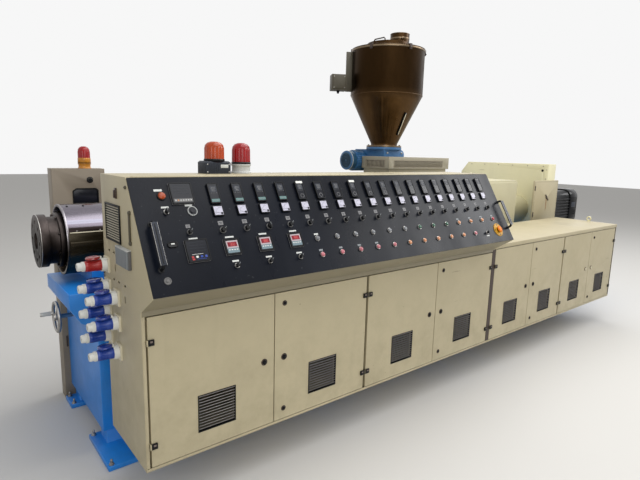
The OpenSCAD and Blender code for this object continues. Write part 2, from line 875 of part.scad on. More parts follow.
// Foot plates with short legs; the plate at the die end reaches out towards the operator
module frame_feet() {
    feet = 5;
    plate_len = 279;
    plate_out = 39;
    leg = 160;
    toe = 20;
    long_toe = 216;
    step = (frame_len - plate_len + plate_out) / (feet - 1);
    color("dodgerblue") for (k = [0 : feet - 1]) {
        x = frame_x + k * step;
        slab(x - plate_out, x - plate_out + plate_len, frame_y - (k == 0 ? long_toe : toe),
            frame_y + 150, 0, foot_plate);
        slab(x - plate_out, x - plate_out + plate_len, frame_back - 150, frame_back, 0, foot_plate);
        for (y = [frame_y + 5, frame_back - 125])
            slab(x + toe, x + toe + leg, y, y + 120, foot_plate - 1, frame_low);
    }
}

// Tapered arms from the frame that carry the cabinets
module cabinet_arms() {
    arm_w = 60;
    arm_h = 60;
    end_in = 180;
    places = [for (c = [[0, cab_a_w], [cab_b_x, cab_b_w]], part = [0, 0.5, 1])
        c[0] + end_in + part * (c[1] - 2 * end_in - arm_w)];
    color("dodgerblue") for (x = places)
        profile_x(x, arm_w, [
            [arm_h, floor_gap], [arm_h, floor_gap - arm_h / 2], [arm_h + 160, floor_gap - arm_h],
            [frame_y, floor_gap - arm_h - 40], [frame_y, floor_gap]
        ]);
}

// Handwheel on the pedestal: rim, hub, three spokes, shaft and crank grip
module handwheel() {
    hub_h = 28;
    spoke_w = 12;
    spoke_t = 10;
    grip_len = 62;
    grip_r = 11;
    translate([wheel_x, axis_y, wheel_z]) rotate([0, 90, 0]) color("gainsboro") {
        rotate_extrude() translate([wheel_r, 0]) circle(r = 9);
        translate([0, 0, -hub_h / 2]) cylinder(r = 20, h = hub_h);
        cylinder(r = wheel_shaft_r, h = frame_x - wheel_x - seat);
        for (a = [90 : 120 : 330]) rotate([0, 0, a]) translate([0, -spoke_w / 2, -spoke_t / 2])
            cube([wheel_r, spoke_w, spoke_t]);
        rotate([0, 0, 90]) translate([wheel_r, 0, -grip_len - 4]) cylinder(r = grip_r, h = grip_len);
    }
}

// Polished tube around the barrel with rolled ends, a seam and an open mouth at the die end
module barrel_cover() {
    seam_w = 24;
    seam_out = 4;
    seam_in = 14;
    roll = 10;
    color("silver") difference() {
        union() {
            rod_x(cover_x, axis_y, axis_z, cover_r, cover_len);
            for (x = [cover_x, cover_end - roll]) rod_x(x, axis_y, axis_z, cover_r + 2, roll);
            slab(cover_x + seam_in, cover_end - seam_in, axis_y - cover_r - seam_out,
                axis_y - cover_r + 20, axis_z - seam_w / 2, axis_z + seam_w / 2);
        }
        rod_x(cover_x - past, axis_y, axis_z, cover_r - cover_t, mouth + past);
    }
}

// Spool-shaped flange that the die is bolted to
module die_flange() {
    disc_t = 46;
    neck_r = flange_r - 14;
    back_disc_r = flange_r + 6;
    back_disc_x = flange_x + 92;
    back_disc_t = 26;
    color("dimgray") difference() {
        union() {
            rod_x(flange_x, axis_y, axis_z, flange_r, disc_t);
            rod_x(flange_x + 5, axis_y, axis_z, neck_r, cover_x + mouth - flange_x - 5);
            rod_x(back_disc_x, axis_y, axis_z, back_disc_r, back_disc_t);
        }
        rod_x(flange_x - past, axis_y, axis_z, melt_r, melt_len + past);
        for (k = [0 : flange_holes - 1]) around_barrel(k * 360 / flange_holes)
            rod_x(flange_x - past, axis_y, axis_z + flange_pcd / 2, flange_hole_r, 40 + past);
    }
}

module around_barrel(angle) {
    translate([0, axis_y, axis_z]) rotate([angle, 0, 0]) translate([0, -axis_y, -axis_z]) children();
}

// Cradles that carry the barrel cover on the frame
module barrel_supports() {
    half = 170;
    cradle_t = 60;
    pitch = 720;
    top = axis_z - cover_r + 100;
    color("dodgerblue") for (k = [0 : 2]) difference() {
        x = frame_x + 30 + k * pitch;
        slab(x, x + cradle_t, axis_y - half, axis_y + half, k == 0 ? pedestal_top : frame_top, top);
        rod_x(x - past, axis_y, axis_z, cover_r + seat, cradle_t + 2 * past);
    }
}

// Housing of the feed section between the barrel cover and the gearbox
module feed_throat() {
    half = 230;
    collar = 30;
    color("tan") {
        slab(cover_end, gearbox_x, axis_y - half, axis_y + half, frame_top, gearbox_top);
        slab(cover_end, cover_end + collar, axis_y - half - collar, axis_y + half + collar,
            frame_top, gearbox_top - 60);
    }
}

// Narrow cabinet behind the barrel, with a window and a button
module rear_cabinet() {
    window_x = rear_x + 111;
    window_z = rear_h - 209;
    window_d = 6;
    button_x = rear_x + 210;
    color("wheat") difference() {
        slab(rear_x, rear_x + rear_w, frame_back, frame_back + rear_depth, 0, rear_h);
        translate([window_x, 0, window_z]) profile_y(frame_back - past, window_d + past) polygon([
            [0, 0], [143, 0], [143, 76], [131, 88], [20, 88], [0, 74]
        ]);
    }
    color("black") rod_front(button_x, frame_back, rear_h - 68, 13, 10);
}

// Feeder hood: body, overlapping upper band and its grille windows
module feeder_housing() {
    x0 = hopper_x - feeder_near;
    x1 = x0 + feeder_len;
    y0 = axis_y - feeder_front;
    y1 = y0 + feeder_w;
    band = 95;
    overlap = 12;
    grille_top = feeder_top - 32;
    grille_low = feeder_top - 78;
    grille_d = 5;
    color("wheat") {
        slab(x0 + overlap, x1 - 22, y0 + overlap, y1 - overlap, gearbox_top, feeder_top - band + 1);
        difference() {
            slab(x0, x1, y0, y1, feeder_top - band, feeder_top);
            slab(x0 + 60, x1 - 90, y0 - past, y0 + grille_d, grille_low, grille_top);
            slab(x0 - past, x0 + grille_d, y0 + 50, y1 - 50, grille_low, grille_top);
        }
    }
}

// Blue gear unit under the hopper and its motor, set back towards the die end
module feeder_drive() {
    motor_axis_y = axis_y - feeder_front + feeder_w + feeder_motor_r + 8;
    motor_axis_z = feeder_top - feeder_motor_r / 2;
    unit_x0 = hopper_x - 102;
    drive_x = hopper_x - 278;
    unit_x1 = unit_x0 + gear_unit_len;
    unit_y1 = axis_y + 236;
    corner = 45;
    unit_low = feeder_top + seat;
    unit_top = feeder_top + gear_unit_h;
    band_in = 60;
    color("steelblue") {
        profile_y(unit_y1 - gear_unit_w, gear_unit_w) intersection() {
            translate([unit_x0, unit_low]) square([gear_unit_len, gear_unit_h - seat]);
            union() {
                translate([unit_x0, unit_low]) square([gear_unit_len - corner, gear_unit_h]);
                translate([unit_x0, unit_low]) square([gear_unit_len, gear_unit_h - corner]);
                translate([unit_x1 - corner, unit_top - corner]) circle(r = corner);
            }
        }
        translate([hopper_x, axis_y, unit_top - 1])
            cylinder(r = outlet_r + 36, h = neck_z - unit_top + 1);
        rod_x(drive_x, motor_axis_y, motor_axis_z, feeder_motor_r, feeder_motor_len);
        rod_x(drive_x + band_in, motor_axis_y, motor_axis_z, feeder_motor_r + 6, feeder_motor_len - 100);
        slab(unit_x0 + 1, unit_x0 + 120, motor_axis_y - 60, unit_y1 - 10, motor_axis_z, feeder_top + 25);
    }
}

// Hopper: flanged outlet, cone and cylinder with a rolled rim, open inside
cone_low = neck_z + 30;
cone_z = hopper_top - hopper_cyl;
module hopper() {
    w = hopper_wall;
    slant = w * 0.6;
    flange_t = 14;
    rim_h = 16;
    color("rosybrown") translate([hopper_x, axis_y, 0]) rotate_extrude() polygon([
        [outlet_r - w, neck_z], [outlet_r + 34, neck_z], [outlet_r + 34, neck_z + flange_t],
        [outlet_r, neck_z + flange_t], [outlet_r, cone_low], [hopper_r, cone_z],
        [hopper_r, hopper_top - rim_h], [hopper_r + rim_out, hopper_top - rim_h],
        [hopper_r + rim_out, hopper_top], [hopper_r - w, hopper_top], [hopper_r - w, cone_z + slant],
        [outlet_r - w, cone_low + slant]
    ]);
}

// Lid with a raised round collar and the inlet stub to one side of its middle
module hopper_lid() {
    lid_t = 6;
    slope_top = 18;
    rise = 55;
    stub_h = 79;
    stub_wall = 4;
    stub_place = [68, -55];
    collar_r = 170;
    color("rosybrown") translate([hopper_x, axis_y, hopper_top]) difference() {
        union() {
            rotate_extrude() polygon([
                [0, 0], [hopper_r + rim_out, 0], [hopper_r + rim_out, lid_t],
                [collar_r, slope_top], [collar_r, rise], [0, rise]
            ]);
            translate(stub_place) cylinder(r = inlet_r, h = rise + stub_h);
        }
        translate([stub_place[0], stub_place[1], -past])
            cylinder(r = inlet_r - stub_wall, h = rise + stub_h + 2 * past);
    }
}

// Level sensor box with its bracket at the hopper's side, and the sight glass along the cone
module hopper_fittings() {
    bracket_t = 16;
    bracket_h = 306;
    bracket_drop = 20;
    box_h = 120;
    cone_run = hopper_r - outlet_r;
    cone_angle = atan2(cone_z - cone_low, cone_run);
    glass_w = 16;
    glass_t = 12;
    glass_len = 190;
    glass_start = 78;
    translate([hopper_x, axis_y, 0]) {
        color("wheat") rotate([0, 0, 149]) {
            slab(hopper_r + seat, hopper_r + 50, -bracket_t / 2, bracket_t / 2,
                hopper_top - bracket_drop - bracket_h, hopper_top - bracket_drop);
            slab(hopper_r + 49, hopper_r + 170, -55, 55, hopper_top - bracket_drop - bracket_h + 5,
                hopper_top - bracket_drop - bracket_h + 5 + box_h);
        }
        color("gainsboro") rotate([0, 0, -92]) translate([outlet_r, 0, cone_low])
            rotate([0, -cone_angle, 0]) translate([glass_start, -glass_w / 2, -glass_t - seat])
                cube([glass_len, glass_w, glass_t]);
    }
}

// Sheet cover over the gearbox with its raised lid and the drive's housing towards the guard
module gearbox_cover() {
    y0 = axis_y - gearbox_w / 2;
    lid_h = 20;
    lid_in = 6;
    color("wheat") {
        slab(gearbox_x, gearbox_end, y0, y0 + gearbox_w, frame_top, gearbox_top - lid_h);
        slab(gearbox_x, gearbox_end - lid_in, y0 + lid_in, y0 + gearbox_w - lid_in,
            gearbox_top - lid_h - 1, gearbox_top);
        rod_x(gearbox_end - 1, axis_y, axis_z - 60, 150, drive_gap + 1);
    }
}

// Tall belt guard between gearbox and motor, with one chamfered top corner and a rod hole
module belt_guard() {
    y0 = guard_y;
    y1 = guard_y + guard_w;
    chamfer = [91, 115];
    color("wheat") difference() {
        profile_x(guard_x, guard_t, [
            [y0, frame_top], [y0, guard_top], [y1 - chamfer[0], guard_top],
            [y1, guard_top - chamfer[1]], [y1, frame_top]
        ]);
        rod_x(guard_x - past, y0 + 63, guard_top - 69, 10, 8 + past);
    }
}

// Switch box in front of the belt guard, on a bracket from the frame
module terminal_box() {
    x1 = guard_x + 211;
    x0 = x1 - terminal_w;
    low = frame_top + 180;
    bracket_x = x0 + 180;
    color("wheat") {
        slab(x0, x1, terminal_y, guard_y, low, low + terminal_h);
        slab(bracket_x, bracket_x + 60, frame_y + 1, guard_y, frame_top, low + 1);
        rod_front(x0 + 270, terminal_y, low + terminal_h - 180, 12, 8);
    }
}

// A square bar with rounded corners that lies along the motor's axis and starts at x
module motor_bar(x, len, half, corner) {
    flat = half - corner;
    translate([x, axis_y, motor_z]) rotate([90, 0, 90]) linear_extrude(height = len) {
        square([2 * half, 2 * flat], center = true);
        square([2 * flat, 2 * half], center = true);
        for (a = [-flat, flat], b = [-flat, flat]) translate([a, b]) circle(r = corner);
    }
}

// Main motor: square frame with ribs along its sides, end bells, feet and junction box
module main_motor() {
    half = motor_w / 2;
    ribs = 7;
    rib_t = 8;
    rib_pitch = 34;
    bell_x = motor_x + 60;
    bell_len = 90;
    body_x = bell_x + bell_len;
    cap_len = 45;
    cowl_len = 181;
    cowl_x = motor_end - cap_len - cowl_len;
    body_half = half - 14;
    corner = 95;
    foot_len = 90;
    box_out = 50;
    box_half = 90;
    color("black") {
        rod_x(motor_x, axis_y, motor_z, half * 0.8, 61);
        motor_bar(bell_x, bell_len, half, corner);
        motor_bar(body_x - 1, cowl_x - body_x + 2, body_half, corner - 10);
        motor_bar(cowl_x, cowl_len, half, corner);
        rod_x(motor_end - cap_len - 1, axis_y, motor_z, half * 0.8, cap_len + 1);
        for (k = [0 : ribs - 1]) {
            z = motor_z + (k - (ribs - 1) / 2) * rib_pitch;
            slab(body_x - 1, cowl_x + 1, axis_y - half + 3, axis_y + half - 3, z - rib_t / 2, z + rib_t / 2);
        }
        for (x = [body_x + 30, cowl_x - 30 - foot_len])
            slab(x, x + foot_len, axis_y - half * 0.7, axis_y + half * 0.7, frame_top, motor_z - half + 30);
        slab(body_x + 50, body_x + 230, axis_y + body_half - 1, axis_y + half + box_out,
            motor_z - box_half, motor_z + box_half);
    }
}

placed() door_1();
placed() door_2();
placed() door_3();
placed() door_4();
placed() door_5();
placed() door_6();
placed() door_7();
placed() door_8();
placed() cabinet_left_side();
placed() cabinet_right_side();
placed() drive_cabinet_sides();
placed() cabinet_floors();
placed() cabinet_backs();
placed() console_roof();
placed() console_sill();
placed() drive_cabinet_lid();
placed() lifting_eye();
placed() door_posts();
placed() console_panel();
placed() panel_handles();
placed() temperature_controllers();
placed() ammeters();
placed() selector_knobs();
placed() push_buttons();
placed() display_units();
placed() emergency_stop();
placed() side_fittings();
placed() power_sockets();
placed() plugs();
placed() beacon_bases();
placed() beacon_domes();
placed() base_frame();
placed() frame_feet();
placed() cabinet_arms();
placed() handwheel();
placed() barrel_cover();
placed() die_flange();
placed() barrel_supports();
placed() feed_throat();
placed() rear_cabinet();
placed() feeder_housing();
placed() feeder_drive();
placed() hopper();
placed() hopper_lid();
placed() hopper_fittings();
placed() gearbox_cover();
placed() belt_guard();
placed() terminal_box();
placed() main_motor();
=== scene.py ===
import json
from math import atan2, cos, hypot, pi, radians, sin, tau
import random

import bmesh
import bpy
from mathutils import Matrix, Vector

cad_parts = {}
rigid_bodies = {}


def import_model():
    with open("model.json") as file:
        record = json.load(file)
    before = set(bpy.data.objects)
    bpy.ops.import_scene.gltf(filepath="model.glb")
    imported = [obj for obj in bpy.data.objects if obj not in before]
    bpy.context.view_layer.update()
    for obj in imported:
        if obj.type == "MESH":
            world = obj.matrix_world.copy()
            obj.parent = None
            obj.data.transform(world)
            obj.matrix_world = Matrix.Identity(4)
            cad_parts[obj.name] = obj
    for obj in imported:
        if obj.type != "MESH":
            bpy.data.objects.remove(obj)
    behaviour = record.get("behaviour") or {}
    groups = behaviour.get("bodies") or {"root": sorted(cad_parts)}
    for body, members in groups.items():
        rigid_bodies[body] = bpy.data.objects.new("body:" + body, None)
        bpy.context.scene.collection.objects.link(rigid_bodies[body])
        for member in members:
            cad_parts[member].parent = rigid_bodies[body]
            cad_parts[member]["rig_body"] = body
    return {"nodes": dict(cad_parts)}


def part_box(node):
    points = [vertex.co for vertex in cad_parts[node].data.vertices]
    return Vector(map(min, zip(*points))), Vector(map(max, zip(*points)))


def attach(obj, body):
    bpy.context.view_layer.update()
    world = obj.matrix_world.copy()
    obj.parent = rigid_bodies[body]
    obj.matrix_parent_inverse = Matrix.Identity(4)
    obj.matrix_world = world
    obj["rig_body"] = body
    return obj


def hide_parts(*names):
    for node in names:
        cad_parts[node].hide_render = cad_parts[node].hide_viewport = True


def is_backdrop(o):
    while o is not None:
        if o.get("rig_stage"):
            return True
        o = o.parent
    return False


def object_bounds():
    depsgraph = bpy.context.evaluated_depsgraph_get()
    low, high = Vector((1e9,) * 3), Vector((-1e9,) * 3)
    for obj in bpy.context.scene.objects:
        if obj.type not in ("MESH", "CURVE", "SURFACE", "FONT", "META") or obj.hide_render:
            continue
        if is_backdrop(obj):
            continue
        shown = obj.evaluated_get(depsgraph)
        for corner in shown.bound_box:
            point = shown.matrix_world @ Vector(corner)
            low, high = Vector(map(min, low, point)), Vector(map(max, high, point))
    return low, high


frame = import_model()
cad_low, cad_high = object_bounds()
print("CAD nodes:", len(frame["nodes"]), "size in metres:", tuple(round(x, 3) for x in cad_high - cad_low))

# %% [markdown]
# ## Colours
# Colours are easiest to think of as the screen shows them, from 0 to 255. Blender's sockets want
# linear light, so one helper turns the first into the second.
# %% Screen colours to linear light


def tint(red, green, blue):
    """A linear colour with full opacity from screen values between 0 and 255."""
    def linear(value):
        share = value / 255
        return share / 12.92 if share <= 0.04045 else ((share + 0.055) / 1.055) ** 2.4
    return (linear(red), linear(green), linear(blue), 1.0)


# %% [markdown]
# ## Camera
# The photograph was taken at eye height from the operator's side, close to the die end, with a
# slightly rolled phone. The place and the three angles were worked out from points whose sizes are
# known, and they are turned into a matrix here, because that keeps the small roll exact.
# %% Camera at the photograph's place


def new_object(name, data):
    """An object with that data, put into the scene."""
    made = bpy.data.objects.new(name, data)
    bpy.context.scene.collection.objects.link(made)
    return made


CAMERA_PLACE = Vector((-3.370, -2.700, 1.584))
CAMERA_YAW = radians(39.196)
CAMERA_PITCH = radians(9.966)
CAMERA_ROLL = radians(1.496)
CAMERA_LENS = 27.61

forward = Vector((
    sin(CAMERA_YAW) * cos(CAMERA_PITCH),
    cos(CAMERA_YAW) * cos(CAMERA_PITCH),
    -sin(CAMERA_PITCH),
))
level_right = forward.cross(Vector((0, 0, 1))).normalized()
level_up = level_right.cross(forward)
right = level_right * cos(CAMERA_ROLL) + level_up * sin(CAMERA_ROLL)
up = level_up * cos(CAMERA_ROLL) - level_right * sin(CAMERA_ROLL)
camera_data = bpy.data.cameras.new("camera")
camera_data.lens = CAMERA_LENS
camera_data.sensor_width = 36
camera_data.sensor_fit = "HORIZONTAL"
camera = new_object("camera", camera_data)
turn = Matrix((right, up, -forward)).transposed().to_4x4()
camera.matrix_world = Matrix.Translation(CAMERA_PLACE) @ turn
bpy.context.scene.camera = camera
bpy.context.scene.view_settings.view_transform = "Standard"
print("camera height:", CAMERA_PLACE.z)

# %% [markdown]
# ## Shader helpers
# Every finish below is a Principled shader with a few procedural nodes before it. Two short helpers
# keep those recipes readable: one makes a node and fills its sockets, the other joins two sockets.
# Patterns read Object coordinates, and each object sits at the origin, so they are in real metres.
# %% Make and join shader nodes


def feed(tree, socket, value):
    """Sets a socket to a number or a colour, or joins it to another node's output."""
    if isinstance(value, (int, float, tuple)):
        socket.default_value = value
    else:
        tree.links.new(value, socket)


def add_node(tree, kind, **sockets):
    """A new shader node of that kind whose named sockets are set or joined."""
    made = tree.nodes.new("ShaderNode" + kind)
    for name, value in sockets.items():
        feed(tree, made.inputs[name.replace("_", " ")], value)
    return made


def noise(tree, scale, detail=3.0, roughness=0.55, stretch=(1, 1, 1)):
    """Noise on Object coordinates, stretched if one direction is scaled less than the others."""
    place = add_node(tree, "TexCoord").outputs["Object"]
    mapped = add_node(tree, "Mapping", Scale=stretch, Vector=place).outputs["Vector"]
    made = add_node(tree, "TexNoise", Scale=scale, Detail=detail, Roughness=roughness, Vector=mapped)
    return made.outputs["Fac"]


def ramp(tree, value, low, high, low_out=0.0, high_out=1.0):
    """Maps a value's range from low to high onto another range, and clamps it there."""
    return add_node(tree, "MapRange", Value=value, From_Min=low, From_Max=high, To_Min=low_out,
                    To_Max=high_out).outputs["Result"]


def mix_colour(tree, factor, first, second):
    """A colour between two others. Each may be a colour or the output of another node."""
    made = tree.nodes.new("ShaderNodeMix")
    made.data_type = "RGBA"
    colours = [socket for socket in made.inputs if socket.type == "RGBA"]
    for socket, value in zip((made.inputs[0], *colours), (factor, first, second)):
        feed(tree, socket, value)
    return [socket for socket in made.outputs if socket.type == "RGBA"][0]


def multiply(tree, first, second):
    """Two values multiplied. Either may be a number."""
    made = tree.nodes.new("ShaderNodeMath")
    made.operation = "MULTIPLY"
    feed(tree, made.inputs[0], first)
    feed(tree, made.inputs[1], second)
    return made.outputs[0]


def height_above_floor(tree):
    """The Z of Object coordinates, which is the height in metres."""
    return add_node(tree, "SeparateXYZ", Vector=add_node(tree, "TexCoord").outputs["Object"]).outputs["Z"]


def bump(tree, value, strength, distance):
    """Turns a value into small dents of that depth in metres."""
    return add_node(tree, "Bump", Strength=strength, Distance=distance, Height=value).outputs["Normal"]


def new_finish(name, roughness, metallic=0.0, **constants):
    """A material with its Principled shader, whose constant sockets are set on the shader itself."""
    material = bpy.data.materials.new(name)
    material.use_nodes = True
    shader = material.node_tree.nodes["Principled BSDF"]
    for key, value in dict(Roughness=roughness, Metallic=metallic, **constants).items():
        shader.inputs[key.replace("_", " ")].default_value = value
    return material, material.node_tree, shader


# %% [markdown]
# ## Sheet-metal paint
# The cabinets wear a beige powder coat that years in a workshop have dulled. The coat is one colour
# with a faint cloudiness, a grey film of dirt that is strongest near the floor, small chips and
# hair scratches, and a very fine dimpled skin. The same recipe with other numbers gives the blue
# frame paint, so it is a function of colour, dirt and gloss.
# %% Painted sheet metal


def paint_finish(name, colour, dirt, dirt_share, chip, roughness, dirt_height=0.9):
    """Powder coat with clouds, a film of dirt that thickens downwards, chips and scratches."""
    colour, dirt, chip = tint(*colour), tint(*dirt), tint(*chip)
    material, tree, shader = new_finish(name, roughness)
    cloud = ramp(tree, noise(tree, 1.7, detail=5.0), 0.3, 0.75)
    darker = tuple(0.86 * part for part in colour[:3]) + (1.0,)
    coat = mix_colour(tree, multiply(tree, cloud, 0.55), colour, darker)
    low_down = ramp(tree, height_above_floor(tree), 0.0, dirt_height, 1.0, 0.12)
    patches = ramp(tree, noise(tree, 6.0, detail=7.0, roughness=0.7), 0.42, 0.72)
    film = multiply(tree, multiply(tree, patches, low_down), dirt_share)
    coat = mix_colour(tree, film, coat, dirt)
    streaks = ramp(tree, noise(tree, 9.0, detail=4.0, stretch=(1, 1, 0.12)), 0.6, 0.78, 0.0, 0.25)
    coat = mix_colour(tree, multiply(tree, streaks, dirt_share), coat, dirt)
    chips = ramp(tree, noise(tree, 38.0, detail=5.0, roughness=0.6), 0.735, 0.76, 0.0, 0.8)
    coat = mix_colour(tree, chips, coat, chip)
    scratches = ramp(tree, noise(tree, 24.0, detail=2.0, stretch=(0.15, 0.15, 2.2)), 0.74, 0.76, 0.0, 0.4)
    coat = mix_colour(tree, scratches, coat, chip)
    tree.links.new(coat, shader.inputs["Base Color"])
    dull = ramp(tree, noise(tree, 3.0, detail=4.0), 0.3, 0.7, roughness - 0.08, roughness + 0.12)
    tree.links.new(dull, shader.inputs["Roughness"])
    tree.links.new(bump(tree, noise(tree, 420.0, detail=1.0), 0.12, 0.0004), shader.inputs["Normal"])
    return material


cabinet_paint = paint_finish("cabinet_beige", (181, 170, 139), (120, 110, 86), 0.5,
                             (108, 100, 80), 0.42)
# A darker copy of the cabinet paint, which paints the shade on the console sill.
shaded_sill_paint = paint_finish("sill_beige", (134, 126, 103), (104, 96, 76), 0.5,
                          (92, 84, 68), 0.45)
machine_paint = paint_finish("machine_beige", (187, 180, 146), (130, 118, 92), 0.45,
                             (112, 102, 82), 0.42)
guard_paint = paint_finish("guard_beige", (226, 220, 182), (156, 146, 114), 0.4,
                           (130, 120, 96), 0.44)
feeder_paint = paint_finish("feeder_beige", (156, 149, 129), (104, 94, 78), 0.6,
                            (98, 90, 76), 0.46)
dusty_paint = paint_finish("dusty_beige", (130, 119, 103), (84, 74, 62), 0.6,
                           (80, 72, 62), 0.5)
frame_blue = paint_finish("frame_blue_paint", (30, 130, 218), (42, 90, 140), 0.38,
                          (70, 100, 124), 0.36, dirt_height=1.1)
drive_blue = paint_finish("drive_blue_paint", (54, 104, 152), (52, 74, 92), 0.45,
                          (96, 110, 120), 0.4)
motor_teal = paint_finish("feeder_motor_teal", (38, 80, 108), (34, 56, 68), 0.45,
                          (96, 110, 112), 0.4)
# Olive paint for real olive parts, and painted shade on the inner door posts seen through the gaps.
olive_paint_and_gap_shade = paint_finish("old_olive_paint", (70, 64, 48), (44, 38, 28), 0.5,
                           (112, 104, 88), 0.45)
print("paints:", [m.name for m in (cabinet_paint, machine_paint, frame_blue, drive_blue, olive_paint_and_gap_shade)])

# %% [markdown]
# ## Metals, plastics and the black panel
# Metals differ in how rough they are and in which direction they were worked. The barrel cover is
# rolled and polished, so its noise is stretched along the tube. Plastics are plain colours with a
# faint grain. The operating panel is black enamel whose smears show only in its gloss.
# %% Metals and plastics


def metal_finish(name, colour, stain, stain_share, roughness, stretch=(1, 1, 1), grain=60.0, painted_light_bands=()):
    """Bare metal: a stained colour, a grain that may run one way, and uneven gloss.

    Each band (from, to, colour) blends to its colour between two heights above the floor. The bands are
    painted light: painted reflections, highlights and shade."""
    material, tree, shader = new_finish(name, roughness, metallic=1.0)
    stains = ramp(tree, noise(tree, 5.0, detail=6.0, roughness=0.65), 0.45, 0.75, 0.0, stain_share)
    body = mix_colour(tree, stains, tint(*colour), tint(*stain))
    for start, end, shade in painted_light_bands:
        body = mix_colour(tree, ramp(tree, height_above_floor(tree), start, end), body, tint(*shade))
    tree.links.new(body, shader.inputs["Base Color"])
    worked = noise(tree, grain, detail=4.0, stretch=stretch)
    gloss = ramp(tree, worked, 0.3, 0.7, roughness - 0.07, roughness + 0.1)
    tree.links.new(gloss, shader.inputs["Roughness"])
    tree.links.new(bump(tree, worked, 0.15, 0.0005), shader.inputs["Normal"])
    return material


def plastic_finish(name, colour, roughness, grain=500.0, **constants):
    """Moulded plastic: one colour with a breath of unevenness and a fine grain."""
    colour = tint(*colour)
    material, tree, shader = new_finish(name, roughness, **constants)
    darker = tuple(0.8 * part for part in colour[:3]) + (1.0,)
    worn = ramp(tree, noise(tree, 14.0, detail=5.0), 0.35, 0.75, 0.0, 0.5)
    tree.links.new(mix_colour(tree, worn, colour, darker), shader.inputs["Base Color"])
    tree.links.new(bump(tree, noise(tree, grain, detail=1.0), 0.1, 0.0002), shader.inputs["Normal"])
    return material


barrel_axis = (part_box("die_flange")[0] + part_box("die_flange")[1]) / 2
axis_height = barrel_axis.z
# Height bands on the cover: the thin ones above the axis paint the reflected streak, the dark ones below it
# paint the shade.
COVER_PAINTED_LIGHT = (
    (0.060, 0.063, (44, 37, 37)), (0.082, 0.086, (100, 94, 103)), (0.099, 0.104, (124, 122, 134)),
    (0.116, 0.122, (118, 113, 122)), (-0.010, -0.060, (60, 53, 42)), (-0.100, -0.160, (96, 84, 70)),
)
polished_steel = metal_finish(
    "polished_steel", (54, 49, 40), (42, 37, 31), 0.5, 0.24, stretch=(0.05, 1, 1), grain=46.0,
    painted_light_bands=[(axis_height + a, axis_height + b, shade) for a, b, shade in COVER_PAINTED_LIGHT])
# The end rings turn darker below the axis: painted shade.
end_steel = metal_finish("end_ring_steel", (150, 146, 150), (104, 100, 102), 0.5, 0.3,
                         painted_light_bands=((axis_height + 0.06, axis_height - 0.04, (64, 58, 52)),))
bare_steel = metal_finish("bare_steel", (176, 174, 170), (96, 88, 80), 0.6, 0.36)
# The iron turns darker below the axis: painted shade on the die flange.
dark_iron = metal_finish("dark_iron", (82, 75, 73), (50, 44, 41), 0.8, 0.42,
                         painted_light_bands=((axis_height + 0.1, axis_height - 0.06, (22, 18, 16)),))
hopper_low, hopper_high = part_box("hopper")
cone_top = hopper_low.z + 0.52 * (hopper_high.z - hopper_low.z)
# The bronze turns darker above the cone: a painted dark reflection on the cylinder.
hopper_bronze = metal_finish("hopper_bronze", (88, 66, 42), (52, 36, 20), 0.6, 0.34,
                             stretch=(1, 1, 0.3), grain=18.0,
                             painted_light_bands=((cone_top - 0.02, cone_top + 0.06, (54, 38, 21)),))
rim_bronze = metal_finish("rim_bronze", (120, 104, 84), (72, 58, 42), 0.5, 0.3)
motor_black = plastic_finish("motor_black_paint", (15, 16, 18), 0.2, Specular_IOR_Level=0.14)
black_plastic = plastic_finish("black_plastic", (17, 18, 20), 0.38, Specular_IOR_Level=0.18)
dark_grey_plastic = plastic_finish("dark_grey_plastic", (46, 50, 58), 0.45, Specular_IOR_Level=0.2)
instrument_grey = plastic_finish("instrument_grey", (126, 131, 134), 0.5)
plate_grey = plastic_finish("engraved_grey", (118, 117, 118), 0.5)
hood_grey = plastic_finish("hood_grey", (92, 91, 90), 0.5)
fin_grey = plastic_finish("fin_grey", (150, 145, 144), 0.5)
pale_grey_plastic = plastic_finish("pale_grey_plastic", (186, 188, 186), 0.48)
white_plastic = plastic_finish("white_plastic", (222, 222, 216), 0.45)
meter_white = plastic_finish("meter_white", (184, 182, 197), 0.4)
plug_blue = plastic_finish("plug_blue", (28, 62, 152), 0.32)
plug_red = plastic_finish("plug_red", (164, 34, 32), 0.34)
stop_yellow = plastic_finish("stop_yellow", (204, 152, 30), 0.42, Specular_IOR_Level=0.25)
stop_red = plastic_finish("stop_orange_red", (214, 118, 14), 0.38, Specular_IOR_Level=0.2)
hinge_pink = plastic_finish("hinge_grey_pink", (118, 104, 96), 0.5)
lock_cream = plastic_finish("lock_cream", (214, 206, 180), 0.45)
brown_iron = plastic_finish("brown_iron", (58, 44, 36), 0.5)
rust_mark = plastic_finish("rust_mark", (138, 104, 66), 0.7)
label_paper = plastic_finish("engraved_label", (206, 208, 204), 0.55)
rubber_black = plastic_finish("rubber_black", (18, 18, 19), 0.7, Specular_IOR_Level=0.15)
lid_blue = plastic_finish("socket_lid_blue", (24, 52, 140), 0.16, Coat_Weight=0.6)
lid_red = plastic_finish("socket_lid_red", (150, 28, 28), 0.16, Coat_Weight=0.6)
key_teal = plastic_finish("key_teal", (84, 122, 120), 0.5)
key_blue_grey = plastic_finish("key_blue_grey", (104, 124, 132), 0.5)
display_face = plastic_finish("display_face", (172, 156, 160), 0.45)
print("metals and plastics made:", len(bpy.data.materials))


# %% [markdown]
# The panel is nearly black with a blue cast. On the real one the enamel is clean but not mirror
# flat: the lamps' reflections are soft and cloudy, so noise moves the gloss and not the colour.
# %% Black enamel of the operating panel


